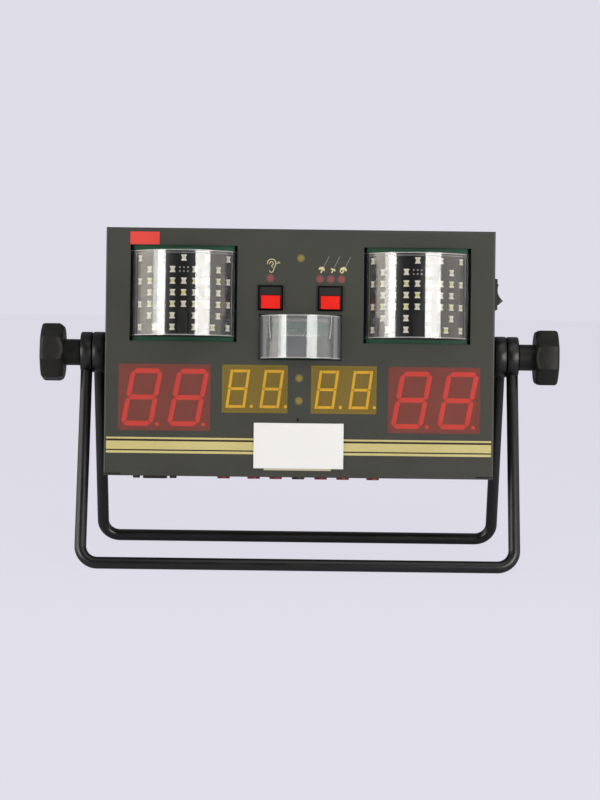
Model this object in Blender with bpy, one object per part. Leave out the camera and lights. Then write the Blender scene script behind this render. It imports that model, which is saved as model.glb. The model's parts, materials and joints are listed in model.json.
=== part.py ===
"""Fencing scoring machine on a folding two-bail stand.

Metres, +Z up. The front panel faces -Y, +X is the machine's right as a viewer sees it, and both
bails rest on Z = 0. Everything in the case is drawn in the case's own frame, whose origin is the
middle of the pivot axis, and the case then leans back about that axis.
"""

import math

import bmesh
import bpy
from mathutils import Vector

# Smoothness of round shapes
SIDES = 24
SMALL_SIDES = 12
SMOOTH_UNDER = math.radians(35)

# Fits
GAP = 0.0003            # between pieces that touch or seat
GLUE = 0.0001           # under a film or sticker
RUNNING = 0.0006        # beside a piece that moves

# Case
CASE_WIDTH = 0.260
CASE_HEIGHT = 0.1657
CASE_DEPTH = 0.070
SHEET = 0.0015
FOLD_RADIUS = 0.0010
PIVOT_SETBACK = CASE_DEPTH / 2      # from the front panel to the pivot axis
LEAN_BACK = math.radians(8.5)
SLIT_LENGTH = 0.0108    # relief slit at each end of the lower fold
SLIT_HEIGHT = 0.0007
COVER_LIP = 0.008


def on_panel(across, up):
    """A place or size on the front, given as shares of the panel's width and height."""
    return (across * CASE_WIDTH, up * CASE_HEIGHT)


# Front film and stickers
FILM = 0.0003
FILM_MARGIN = 0.0016
SETTING_HOLE = 0.00075  # radius of the pin hole under the clock
SETTING_HOLE_AT = on_panel(-0.0031, -0.2685)
NAMEPLATE = on_panel(0.2304, 0.1830)
NAMEPLATE_THICKNESS = 0.0010
NAMEPLATE_AT = on_panel(-0.0004, -0.3733)
UNDER_LABEL = on_panel(0.1727, 0.0848)
UNDER_LABEL_AT = on_panel(-0.0027, -0.4297)
DATE_STICKER = on_panel(0.0752, 0.0512)
DATE_STICKER_AT = on_panel(-0.4007, 0.4572)
STICKER = 0.0002

# Hit lamps
LAMP_AT = on_panel(0.3000, 0.2364)
LAMP_LENS = on_panel(0.2577, 0.3450)
LAMP_BULGE = 0.0177     # how far the middle of the lens stands out of its window
LAMP_LENS_DROP = 0.0002
LAMP_CLEARANCE = (0.00225, 0.00350)
LENS_WALL = 0.0015
LENS_FOOT = 0.0040      # how far a lens foot reaches sideways behind the panel
LENS_STEPS = 24
LED_FACE_SINK = 0.0005  # from the lens down to the lamp's light-emitting faces
LED_RISE = 0.0008
LED_WIDTH = 0.0037
LED_HEIGHT = 0.0041
LED_COLUMN_ANGLES = (0.0, 11.2, 23.9, 36.5, 49.9)  # to each side, in degrees
LED_ROWS = (
    (1, 3, 5, 7, 9),
    (2, 4, 6, 8),
    (1, 2, 3, 4, 5, 6, 7, 8, 9),
    (2, 3, 4, 5, 6, 7, 8),
    (1, 2, 3, 4, 5, 6, 7, 8, 9),
    (2, 4, 6, 8),
    (1, 2.5, 4, 6, 7.5, 9),
)
LED_ROW_SHARE = 0.1375  # row pitch, as a share of the lamp board's height
LED_TURN = math.radians(1.0)    # all the columns, towards the machine's middle
LAMP_BOARD_INSET = math.radians(0.5)
LAMP_BOARD_MARGIN = 0.00075
LAMP_BOARD = 0.0008
LAMP_BOARD_STEPS = 18
LAMP_NOTCH = (0.0087, 0.0170)
LAMP_HOLDER_WALL = 0.0020
LAMP_CARRIER = 0.0016

# Remote control receiver
RECEIVER_AT = on_panel(0.0004, 0.0642)
RECEIVER_LENS = on_panel(0.2038, 0.1758)
RECEIVER_BULGE = 0.0207
RECEIVER_CLEARANCE = (0.00135, 0.0007)
RECEIVER_BOARD_INSET = 0.0081
RECEIVER_BOARD_HEIGHT = 0.0090
RECEIVER_BOARD = 0.0016
RECEIVER_BOARD_LIFT = 0.0050
RECEIVER_EYE_RADIUS = 0.0025
RECEIVER_EYE_PITCH = 0.0130
RECEIVER_BOARD_REACH = 0.0060   # how far the board stands in front of the panel

# Displays
SCORE_AT = on_panel(0.3462, -0.1836)
SCORE_WINDOW = on_panel(0.2373, 0.2679)
SCORE_DIGIT = on_panel(0.0820, 0.2309)
SCORE_PITCH = 0.1188 * CASE_WIDTH
SCORE_STROKE = 0.0032
SCORE_SLANT = math.radians(10.4)
SCORE_DOT = 0.0013
SCORE_DIGIT_SHIFT = 0.0005    # of the bars in their module, to the right
CLOCK_AT = on_panel(0.1142, -0.1455)
CLOCK_WINDOW = on_panel(0.1692, 0.1939)
CLOCK_DIGIT = on_panel(0.0500, 0.1539)
CLOCK_PITCH = 0.0873 * CASE_WIDTH
CLOCK_STROKE = 0.0018
CLOCK_SLANT = math.radians(7.5)
CLOCK_DOT = 0.0011
CLOCK_DOT_SPACE = 0.0022
MODULE_DEPTH = 0.0080
MODULE_MARGIN = 0.0010
SEGMENT_RISE = 0.0003
SEGMENT_BREAK = 0.0004

# Indicator lamps behind the film
INDICATOR_RADIUS = 0.0029
SOUND_LED_AT = on_panel(-0.0777, 0.3012)
WEAPON_LEDS_AT = on_panel(0.0773, 0.3000)
WEAPON_LED_PITCH = 0.0275 * CASE_WIDTH
START_LED_AT = on_panel(0.0004, 0.3830)
COLON_AT = on_panel(-0.0008, -0.1461)
COLON_PITCH = 0.0909 * CASE_HEIGHT

# Front keys
KEY_AT = on_panel(0.0765, 0.2214)
KEY_BEZEL = on_panel(0.0642, 0.1018)
KEY_BEZEL_RISE = 0.0012
KEY_RIM = 0.0005
KEY_WELL_DEPTH = 0.0060
KEY_PADDLE = on_panel(0.0481, 0.0537)
KEY_PADDLE_RISE = 0.0016
KEY_PADDLE_THICKNESS = 0.0036
KEY_AXLE_RADIUS = 0.0008
KEY_TRAVEL = math.radians(8.0)

# Power rocker on the right side
POWER_AT_HEIGHT = 0.2517 * CASE_HEIGHT
POWER_AT_DEPTH = -0.0155
POWER_BEZEL = (0.0150, 0.0207)
POWER_BEZEL_RISE = 0.0022
POWER_RIM = 0.0020
POWER_BODY_DEPTH = 0.0160
POWER_ROCKER_HALF = 0.0076
POWER_TIP_HALF = 0.0058
POWER_TIP_RISE = 0.0027
POWER_HOLLOW = 0.0020   # how far the rocker's face dips between its two ends
POWER_HEEL_HALF = 0.0046
POWER_HEEL_DEPTH = 0.0047
ROCKER_STEPS = 8
POWER_AXLE_DEPTH = 0.0020
POWER_AXLE_RADIUS = 0.0012
POWER_PIN = 0.0005      # how far a pin of the axle reaches into the body
POWER_TOGGLE = math.radians(15.0)

# Sockets under the case
SOCKET_OFFSETS = (-0.0508, -0.0303, -0.0153, 0.0, 0.0153, 0.0303, 0.0508)
SOCKET_NAMES = (
    "left_socket_c", "left_socket_b", "left_socket_a", "piste_socket",
    "right_socket_a", "right_socket_b", "right_socket_c",
)
SOCKET_COLLAR_RADIUS = 0.0043
SOCKET_COLLAR = 0.0016
SOCKET_BARREL_RADIUS = 0.0031
SOCKET_BORE_RADIUS = 0.00205
SOCKET_BORE_DEPTH = 0.0160
SOCKET_BARREL = 0.0200
SOCKET_NUT_RADIUS = 0.0052
SOCKET_NUT = 0.0030
DATA_AT = 0.0324 - CASE_WIDTH / 2
DATA_FLANGE = (0.0308, 0.0125, 0.0010)
DATA_SHELL = (0.0169, 0.0084)
DATA_SHELL_REACH = 0.0023   # below the case
DATA_SHELL_TAPER = 0.0010
DATA_BODY = (0.0190, 0.0105, 0.0090)
DATA_SCREW_PITCH = 0.0250
JACKSCREW_RADIUS = 0.0024
JACKSCREW_HEAD = 0.0018
JACKSCREW_SHANK = 0.0013
JACKSCREW_LENGTH = 0.0060
INLET_AT = CASE_WIDTH / 2 - 0.0324
INLET_FLANGE_RADIUS = 0.0075
INLET_FLANGE = 0.0016
INLET_BARREL_RADIUS = 0.0050
INLET_MOUTH_RADIUS = 0.0033
INLET_PIN_RADIUS = 0.0011
INLET_DEPTH = 0.0110
INLET_LENGTH = 0.0140

# Inside the case
BOARD = 0.0016
BOARD_MARGIN = (0.0050, 0.0055)
PILLAR_INSET = (0.0110, 0.0105)
PILLAR_RADIUS = 0.0035
PILLAR_NECK_RADIUS = 0.0026
SCREW_RADIUS = 0.0015
SCREW_LENGTH = 0.0100
SCREW_HEAD_RADIUS = 0.0028      # countersunk at 90 degrees
SCREW_RECESS_RADIUS = 0.0013
SCREW_RECESS = 0.0010
BUZZER_RADIUS = 0.0140
BUZZER_HEIGHT = 0.0110
BUZZER_AT = (0.0700, 0.0300)
BUZZER_PORT_RADIUS = 0.0028
BUZZER_PORT = 0.0033
SOUND_HOLES = 6         # in a ring around one in the middle
SOUND_HOLE_RADIUS = 0.0016
SOUND_HOLE_RING = 0.0065
BOARD_PARTS = (         # middle, size across the front and height of each
    ((0.000, 0.005), (0.036, 0.016), 0.0045),
    ((-0.060, -0.022), (0.018, 0.008), 0.0035),
    ((-0.038, -0.022), (0.018, 0.008), 0.0035),
    ((-0.016, -0.022), (0.018, 0.008), 0.0035),
    ((0.006, -0.022), (0.018, 0.008), 0.0035),
    ((0.028, -0.022), (0.018, 0.008), 0.0035),
    ((-0.030, 0.042), (0.044, 0.009), 0.0090),
    ((-0.075, 0.035), (0.024, 0.016), 0.0150),
    ((0.095, -0.030), (0.020, 0.026), 0.0180),
)

# Stand
PIVOT_HEIGHT = 0.134    # from the bars' centre line to the pivot
FRONT_SPREAD = 0.0580   # from under the pivot forward to the front bar's centre line
REAR_SPREAD = 0.0405
ROD_RADIUS = 0.0040
ROD_BEND = 0.0115
BEND_STEPS = 5
EYE_RADIUS = 0.0141
EYE_THICKNESS = 0.0080
EYE_EDGE = 0.0008
WASHER = 0.0018
WASHER_RADIUS = 0.0120
STUD_RADIUS = 0.0040
STUD_HEAD_RADIUS = 0.0085
STUD_HEAD = 0.0040
STUD_IN_KNOB = 0.0160
KNOB_RADIUS = 0.0201
KNOB_THICKNESS = 0.0160
KNOB_FLUTES = 8
KNOB_FLUTE = 0.0020
KNOB_TURN = {"left": math.radians(16.0), "right": math.radians(6.7)}
KNOB_EDGE = 0.0030
KNOB_CROWN = ((0.0030, 0.0, 1.0), (0.0009, 0.0015, 0.7), (0.0003, 0.0060, 0.0))
KNOB_FLUTE_SIDES = 6
KNOB_NECK = 0.0110
KNOB_NECK_RADIUS = 0.0089

# Levels worked out from the sizes above, in the case's frame
FRONT = -PIVOT_SETBACK
REAR = FRONT + CASE_DEPTH
BEHIND_PANEL = FRONT + SHEET + GAP
DISPLAY_FACE = FRONT + SEGMENT_RISE
FILM_BACK = FRONT - GLUE
FILM_FACE = FILM_BACK - FILM
BOARD_FRONT = BEHIND_PANEL + MODULE_DEPTH + GAP
BOARD_BACK = BOARD_FRONT + BOARD
COVER_FRONT = REAR - SHEET
SHELL_REAR = COVER_FRONT - GAP
SIDE = CASE_WIDTH / 2
FLOOR = -CASE_HEIGHT / 2
PILLAR_AT = (SIDE - PILLAR_INSET[0], -FLOOR - PILLAR_INSET[1])
BOARD_SIZE = tuple(
    size - 2 * margin for size, margin in zip((CASE_WIDTH, CASE_HEIGHT), BOARD_MARGIN)
)
LAMP_WINDOW = tuple(size + 2 * spare for size, spare in zip(LAMP_LENS, LAMP_CLEARANCE))
RECEIVER_WINDOW = tuple(
    size + 2 * spare for size, spare in zip(RECEIVER_LENS, RECEIVER_CLEARANCE)
)
LAMP_BOARD_HEIGHT = LAMP_LENS[1] - 2 * LAMP_BOARD_MARGIN
WASHER_START = SIDE + GAP
INNER_EYE_START = WASHER_START + WASHER + GAP
OUTER_EYE_START = INNER_EYE_START + EYE_THICKNESS + GAP
NECK_START = OUTER_EYE_START + EYE_THICKNESS + GAP
KNOB_START = NECK_START + KNOB_NECK
STUD_END = NECK_START + STUD_IN_KNOB - GAP
STUD_HOLE = STUD_RADIUS + GAP
SCREW_HOLE = SCREW_RADIUS + GAP
SCREW_FACE = REAR - GLUE
SCREW_CONE = SCREW_FACE - (SCREW_HEAD_RADIUS - SCREW_RADIUS)
FRONT_BAIL_LENGTH = math.hypot(PIVOT_HEIGHT, FRONT_SPREAD)
REAR_BAIL_LENGTH = math.hypot(PIVOT_HEIGHT, REAR_SPREAD)
FRONT_LEAN = math.atan(FRONT_SPREAD / PIVOT_HEIGHT)
REAR_LEAN = math.atan(REAR_SPREAD / PIVOT_HEIGHT)

# Colours
DARK_PAINT = (0.070, 0.070, 0.062)
NEAR_BLACK = (0.022, 0.022, 0.020)
BOARD_GREEN = (0.020, 0.110, 0.060)
CLEAR = (0.850, 0.870, 0.880)
SCORE_RED = (0.300, 0.070, 0.060)
CLOCK_AMBER = (0.270, 0.170, 0.030)
SIGNAL_RED = (0.780, 0.020, 0.015)
STEEL = (0.560, 0.560, 0.570)
WHITE = (0.900, 0.900, 0.870)
CREAM = (0.700, 0.640, 0.450)
STICKER_RED = (0.850, 0.090, 0.070)
SOCKET_RED = (0.450, 0.030, 0.030)
LIGHT_RED = (0.300, 0.070, 0.060)
LIGHT_AMBER = (0.300, 0.220, 0.020)


# Modelling tools


def clear_scene():
    for old in list(bpy.data.objects):
        bpy.data.objects.remove(old, do_unlink=True)


def paint(name, colour, roughness, metallic=0.0, alpha=1.0):
    made = bpy.data.materials.new(name + "_finish")
    made.use_nodes = True
    shader = made.node_tree.nodes["Principled BSDF"]
    shader.inputs["Base Color"].default_value = (*colour, 1.0)
    shader.inputs["Roughness"].default_value = roughness
    shader.inputs["Metallic"].default_value = metallic
    shader.inputs["Alpha"].default_value = alpha
    made.diffuse_color = (*colour, alpha)
    return made


def empty(name, location=(0.0, 0.0, 0.0), lean=0.0, parent=None):
    made = bpy.data.objects.new(name, None)
    made.empty_display_size = 0.02
    made.location = location
    made.rotation_euler = (lean, 0.0, 0.0)
    made.parent = parent
    bpy.context.collection.objects.link(made)
    return made


def place(bm, name, parent, origin=(0.0, 0.0, 0.0), turn=(0.0, 0.0, 0.0)):
    """Links a bmesh drawn in its parent's frame as an object whose origin is at the given point."""
    bmesh.ops.recalc_face_normals(bm, faces=bm.faces)
    bmesh.ops.translate(bm, verts=bm.verts, vec=-Vector(origin))
    mesh = bpy.data.meshes.new(name)
    bm.to_mesh(mesh)
    bm.free()
    made = bpy.data.objects.new(name, mesh)
    made.location = origin
    made.rotation_euler = turn
    made.parent = parent
    bpy.context.collection.objects.link(made)
    return made


def part(bm, name, parent, finish, origin=(0.0, 0.0, 0.0), turn=(0.0, 0.0, 0.0), smooth=False):
    made = place(bm, name, parent, origin, turn)
    made.data.materials.append(paint(name, *finish))
    if smooth:
        made.data.shade_smooth()
        made.data.set_sharp_from_angle(angle=SMOOTH_UNDER)
    return made


def tool(bm, name, parent, target, operation):
    """Adds a helper solid to the scene and lets it cut or extend the target."""
    made = place(bm, name, parent, target.location, target.rotation_euler)
    made.hide_render = True
    made.display_type = "WIRE"
    step = target.modifiers.new(name, "BOOLEAN")
    step.operation = operation
    step.solver = "EXACT"
    step.object = made


def cut(bm, name, parent, target):
    tool(bm, name, parent, target, "DIFFERENCE")


def add_to(bm, name, parent, target):
    tool(bm, name, parent, target, "UNION")


def box(bm, low, high):
    made = bmesh.ops.create_cube(bm, size=1.0)["verts"]
    size = Vector(high) - Vector(low)
    middle = (Vector(high) + Vector(low)) / 2
    bmesh.ops.scale(bm, vec=size, verts=made)
    bmesh.ops.translate(bm, vec=middle, verts=made)
    return made


def plate(bm, centre, size, start, end):
    """A box given by its middle and size across the front, and its two depths."""
    box(
        bm,
        (centre[0] - size[0] / 2, start, centre[1] - size[1] / 2),
        (centre[0] + size[0] / 2, end, centre[1] + size[1] / 2),
    )


def along(axis, u, v, w):
    """Puts outline point (u, v) and distance w in space, for an extrusion along one axis."""
    if axis == "X":
        return (w, u, v)
    if axis == "Y":
        return (u, w, v)
    return (u, v, w)


def prism(bm, outline, axis, start, end):
    near = [bm.verts.new(along(axis, u, v, start)) for u, v in outline]
    far = [bm.verts.new(along(axis, u, v, end)) for u, v in outline]
    count = len(outline)
    bm.faces.new(near)
    bm.faces.new(list(reversed(far)))
    for i in range(count):
        j = (i + 1) % count
        bm.faces.new((near[j], near[i], far[i], far[j]))


def ring(axis, centre, distance, radii):
    """Points around an axis line, one for each radius."""
    count = len(radii)
    points = []
    for i, radius in enumerate(radii):
        angle = 2 * math.pi * i / count
        u = centre[0] + radius * math.cos(angle)
        v = centre[1] + radius * math.sin(angle)
        points.append(along(axis, u, v, distance))
    return points


def loft(bm, axis, centre, sections):
    """Skins sections of (distance, radii). A section with one radius of 0 closes the end."""
    rings = []
    for distance, radii in sections:
        if len(radii) == 1:
            rings.append([bm.verts.new(along(axis, centre[0], centre[1], distance))])
        else:
            rings.append([bm.verts.new(p) for p in ring(axis, centre, distance, radii)])
    for first, second in zip(rings, rings[1:]):
        count = max(len(first), len(second))
        for i in range(count):
            j = (i + 1) % count
            if len(first) == 1:
                bm.faces.new((first[0], second[j], second[i]))
            elif len(second) == 1:
                bm.faces.new((first[i], first[j], second[0]))
            else:
                bm.faces.new((first[i], first[j], second[j], second[i]))


def turned(bm, axis, centre, profile, sides=SIDES):
    """Turns a profile of (distance, radius) points that starts and ends on the axis."""
    sections = []
    for distance, radius in profile:
        sections.append((distance, [radius] * sides if radius > 0 else [0.0]))
    loft(bm, axis, centre, sections)


def turned_ring(bm, axis, centre, profile, sides=SIDES):
    """Turns a closed profile that stays off the axis."""
    rings = []
    for distance, radius in profile:
        points = ring(axis, centre, distance, [radius] * sides)
        rings.append([bm.verts.new(p) for p in points])
    for first, second in zip(rings, rings[1:] + rings[:1]):
        for i in range(sides):
            j = (i + 1) % sides
            bm.faces.new((first[i], first[j], second[j], second[i]))


def rod(bm, axis, centre, radius, start, end, sides=SIDES):
    profile = ((start, 0.0), (start, radius), (end, radius), (end, 0.0))
    turned(bm, axis, centre, profile, sides)


def arc(centre, radius, start, end, steps):
    """Points on a circle. Angles count from straight forward, -Y, towards +X."""
    points = []
    for i in range(steps + 1):
        angle = start + (end - start) * i / steps
        x = centre[0] + radius * math.sin(angle)
        points.append((x, centre[1] - radius * math.cos(angle)))
    return points


def tube(bm, path, radius, sides=SMALL_SIDES):
    """A round rod along a path that lies in the XZ plane."""
    rings = []
    for i, point in enumerate(path):
        before = path[max(i - 1, 0)]
        after = path[min(i + 1, len(path) - 1)]
        forward = (Vector(after) - Vector(before)).normalized()
        side = Vector((0.0, 1.0, 0.0))
        up = forward.cross(side)
        verts = []
        for k in range(sides):
            angle = 2 * math.pi * k / sides
            offset = radius * (math.cos(angle) * side + math.sin(angle) * up)
            verts.append(bm.verts.new(Vector(point) + offset))
        rings.append(verts)
    for first, second in zip(rings, rings[1:]):
        for k in range(sides):
            j = (k + 1) % sides
            bm.faces.new((first[k], first[j], second[j], second[k]))
    bm.faces.new(rings[0])
    bm.faces.new(list(reversed(rings[-1])))


def mirrored(point, side):
    return (side * point[0], point[1])


# Case


def make_front_shell(case):
    bm = bmesh.new()
    box(bm, (-SIDE, FRONT, FLOOR), (SIDE, SHELL_REAR, -FLOOR))
    folds = [e for e in bm.edges if all(abs(v.co.y - FRONT) < GLUE for v in e.verts)]
    bmesh.ops.bevel(
        bm, geom=folds, offset=FOLD_RADIUS, segments=3, profile=0.5, affect="EDGES"
    )
    shell = part(bm, "front_shell", case, (DARK_PAINT, 0.6, 0.0))

    inside = bmesh.new()
    box(
        inside,
        (-SIDE + SHEET, FRONT + SHEET, FLOOR + SHEET),
        (SIDE - SHEET, REAR, -FLOOR - SHEET),
    )
    cut(inside, "shell_inside", case, shell)

    holes = bmesh.new()
    start = FRONT - SHEET
    end = FRONT + 2 * SHEET
    panel_openings(holes, start, end)
    for side in (-1, 1):
        slit_at = (side * (SIDE - SLIT_LENGTH / 2), FLOOR + FOLD_RADIUS + SLIT_HEIGHT / 2)
        plate(holes, slit_at, (SLIT_LENGTH + SHEET, SLIT_HEIGHT), start, end)
    cut(holes, "front_holes", case, shell)

    cut(side_holes(), "side_holes", case, shell)
    cut(floor_holes(), "floor_holes", case, shell)


def panel_openings(bm, start, end):
    """Cutters for the windows and holes that go through the film and the panel alike."""
    for side in (-1, 1):
        plate(bm, mirrored(LAMP_AT, side), LAMP_WINDOW, start, end)
        plate(bm, mirrored(SCORE_AT, side), SCORE_WINDOW, start, end)
        plate(bm, mirrored(CLOCK_AT, side), CLOCK_WINDOW, start, end)
        plate(bm, mirrored(KEY_AT, side), key_hole_size(), start, end)
    plate(bm, RECEIVER_AT, RECEIVER_WINDOW, start, end)
    for centre in indicator_centres():
        rod(bm, "Y", centre, INDICATOR_RADIUS, start, end, SMALL_SIDES)
    rod(bm, "Y", SETTING_HOLE_AT, SETTING_HOLE, start, end, SMALL_SIDES)


def key_hole_size():
    return tuple(size - 2 * KEY_RIM + 2 * GAP for size in KEY_BEZEL)


def power_hole_size():
    return tuple(size - POWER_RIM + 2 * GAP for size in POWER_BEZEL)


def indicator_centres():
    centres = [SOUND_LED_AT, START_LED_AT]
    for step in (-1, 0, 1):
        centres.append((WEAPON_LEDS_AT[0] + step * WEAPON_LED_PITCH, WEAPON_LEDS_AT[1]))
    for step in (-0.5, 0.5):
        centres.append((COLON_AT[0], COLON_AT[1] + step * COLON_PITCH))
    return centres


def side_holes():
    bm = bmesh.new()
    for side in (-1, 1):
        inner = side * (SIDE - 2 * SHEET)
        outer = side * (SIDE + SHEET)
        rod(bm, "X", (0.0, 0.0), STUD_HOLE, inner, outer)
    depth, height = power_hole_size()
    box(
        bm,
        (SIDE - 2 * SHEET, POWER_AT_DEPTH - depth / 2, POWER_AT_HEIGHT - height / 2),
        (SIDE + SHEET, POWER_AT_DEPTH + depth / 2, POWER_AT_HEIGHT + height / 2),
    )
    return bm


def floor_holes():
    bm = bmesh.new()
    low = FLOOR - SHEET
    high = FLOOR + 2 * SHEET
    for offset in SOCKET_OFFSETS:
        rod(bm, "Z", (offset, 0.0), SOCKET_BARREL_RADIUS + GAP, low, high, SMALL_SIDES)
    prism(bm, data_shell_outline(GAP), "Z", low, high)
    for side in (-1, 1):
        screw = (DATA_AT + side * DATA_SCREW_PITCH / 2, 0.0)
        rod(bm, "Z", screw, JACKSCREW_SHANK + GAP, low, high, SMALL_SIDES)
    rod(bm, "Z", (INLET_AT, 0.0), INLET_BARREL_RADIUS + GAP, low, high, SMALL_SIDES)
    return bm


def step_face(bm, face, inset, rise):
    """Insets a face and raises or sinks the inset part."""
    bmesh.ops.inset_region(bm, faces=[face], thickness=inset, use_even_offset=True)
    normal = face.normal.copy()
    top = bmesh.ops.extrude_face_region(bm, geom=[face])["geom"]
    moved = [v for v in top if isinstance(v, bmesh.types.BMVert)]
    bmesh.ops.translate(bm, verts=moved, vec=normal * rise)
    bmesh.ops.delete(bm, geom=[face], context="FACES_ONLY")
    return next(f for f in top if isinstance(f, bmesh.types.BMFace))


def make_rear_cover(case):
    bm = bmesh.new()
    box(bm, (-SIDE, COVER_FRONT, FLOOR), (SIDE, REAR, -FLOOR))
    bm.normal_update()
    inner = min(bm.faces, key=lambda f: f.calc_center_median().y)
    lip = step_face(bm, inner, SHEET + GAP, COVER_LIP)
    bm.normal_update()
    step_face(bm, lip, SHEET, -COVER_LIP)
    cover = part(bm, "rear_cover", case, (DARK_PAINT, 0.6, 0.0))

    holes = bmesh.new()
    for x in (-1, 1):
        for z in (-1, 1):
            centre = (x * PILLAR_AT[0], z * PILLAR_AT[1])
            start = COVER_FRONT - SHEET
            end = REAR + SHEET
            mouth = SCREW_HOLE + end - SCREW_CONE
            turned(holes, "Y", centre, (
                (start, 0.0), (start, SCREW_HOLE), (SCREW_CONE, SCREW_HOLE),
                (end, mouth), (end, 0.0),
            ), SMALL_SIDES)
    places = [(BUZZER_AT[0], BUZZER_AT[1])]
    for i in range(SOUND_HOLES):
        angle = 2 * math.pi * i / SOUND_HOLES
        x = BUZZER_AT[0] + SOUND_HOLE_RING * math.cos(angle)
        places.append((x, BUZZER_AT[1] + SOUND_HOLE_RING * math.sin(angle)))
    for place_at in places:
        rod(
            holes, "Y", place_at, SOUND_HOLE_RADIUS,
            COVER_FRONT - SHEET, REAR + SHEET, SMALL_SIDES,
        )
    cut(holes, "cover_holes", case, cover)


def make_pillars_and_screws(case):
    """Pillars stand on the front panel, carry the board on a shoulder and take the cover screws."""
    number = 0
    for z in (1, -1):
        for x in (-1, 1):
            number += 1
            centre = (x * PILLAR_AT[0], z * PILLAR_AT[1])
            end = COVER_FRONT - GAP
            bottom = REAR - SCREW_LENGTH - GAP
            pillar = bmesh.new()
            turned(pillar, "Y", centre, (
                (BEHIND_PANEL, 0.0), (BEHIND_PANEL, PILLAR_RADIUS),
                (BOARD_FRONT - GAP, PILLAR_RADIUS), (BOARD_FRONT - GAP, PILLAR_NECK_RADIUS),
                (end, PILLAR_NECK_RADIUS), (end, SCREW_HOLE), (bottom, SCREW_HOLE), (bottom, 0.0),
            ), SMALL_SIDES)
            part(pillar, f"pillar_{number}", case, (STEEL, 0.35, 1.0), smooth=True)

            screw = bmesh.new()
            turned(screw, "Y", centre, (
                (REAR - SCREW_LENGTH, 0.0), (REAR - SCREW_LENGTH, SCREW_RADIUS),
                (SCREW_CONE, SCREW_RADIUS), (SCREW_FACE, SCREW_HEAD_RADIUS),
                (SCREW_FACE, SCREW_RECESS_RADIUS), (SCREW_FACE - SCREW_RECESS, 0.0),
            ), SMALL_SIDES)
            part(screw, f"cover_screw_{number}", case, (STEEL, 0.3, 1.0), smooth=True)


# Film and stickers


def make_front_film(case):
    bm = bmesh.new()
    size = (CASE_WIDTH - 2 * FILM_MARGIN, CASE_HEIGHT - 2 * FILM_MARGIN)
    plate(bm, (0.0, 0.0), size, FILM_FACE, FILM_BACK)
    film = part(bm, "front_film", case, (DARK_PAINT, 0.5, 0.0))

    holes = bmesh.new()
    start = FILM_FACE - SHEET
    end = FILM_BACK + SHEET
    panel_openings(holes, start, end)
    for side in (-1, 1):
        slit_top = FLOOR + FOLD_RADIUS + SLIT_HEIGHT
        slit_at = (side * (SIDE - SLIT_LENGTH / 2), slit_top - SLIT_HEIGHT)
        plate(holes, slit_at, (SLIT_LENGTH + SHEET, 2 * SLIT_HEIGHT), start, end)
    cut(holes, "film_holes", case, film)


def make_stickers(case):
    date = bmesh.new()
    back = FILM_FACE - GLUE
    plate(date, DATE_STICKER_AT, DATE_STICKER, back - STICKER, back)
    part(date, "date_sticker", case, (STICKER_RED, 0.4, 0.0))

    under = bmesh.new()
    plate(under, UNDER_LABEL_AT, UNDER_LABEL, back - STICKER, back)
    part(under, "old_nameplate", case, (CREAM, 0.4, 0.0))

    top = bmesh.new()
    back = back - STICKER - GLUE
    plate(top, NAMEPLATE_AT, NAMEPLATE, back - NAMEPLATE_THICKNESS, back)
    part(top, "blank_nameplate", case, (WHITE, 0.3, 0.0))


# Lamps and receiver


def lens_arc(width, bulge):
    """The radius of an arc with the given width and bulge, and half the angle it spans."""
    half = width / 2
    radius = (half * half + bulge * bulge) / (2 * bulge)
    return radius, 2 * math.atan(bulge / half)


def lens_hub(centre_x, radius, spread):
    """The axis of a lens's curve, as seen from above."""
    return (centre_x, FRONT + radius * math.cos(spread))


def lens_outline(centre_x, width, bulge):
    """A clear wall that bows out through the panel, with a foot on each side behind it."""
    radius, spread = lens_arc(width, bulge)
    hub = lens_hub(centre_x, radius, spread)
    inner_radius = radius - LENS_WALL
    inner_half = width / 2 - LENS_WALL
    inner_spread = math.asin(inner_half / inner_radius)
    foot = width / 2 + LENS_FOOT
    back = BEHIND_PANEL + LENS_WALL
    outline = [(centre_x - foot, back), (centre_x - foot, BEHIND_PANEL)]
    outline.append((centre_x - width / 2, BEHIND_PANEL))
    outline += arc(hub, radius, -spread, spread, LENS_STEPS)
    outline.append((centre_x + width / 2, BEHIND_PANEL))
    outline += [(centre_x + foot, BEHIND_PANEL), (centre_x + foot, back)]
    outline.append((centre_x + inner_half, back))
    outline += arc(hub, inner_radius, inner_spread, -inner_spread, LENS_STEPS)
    outline.append((centre_x - inner_half, back))
    return outline


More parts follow.
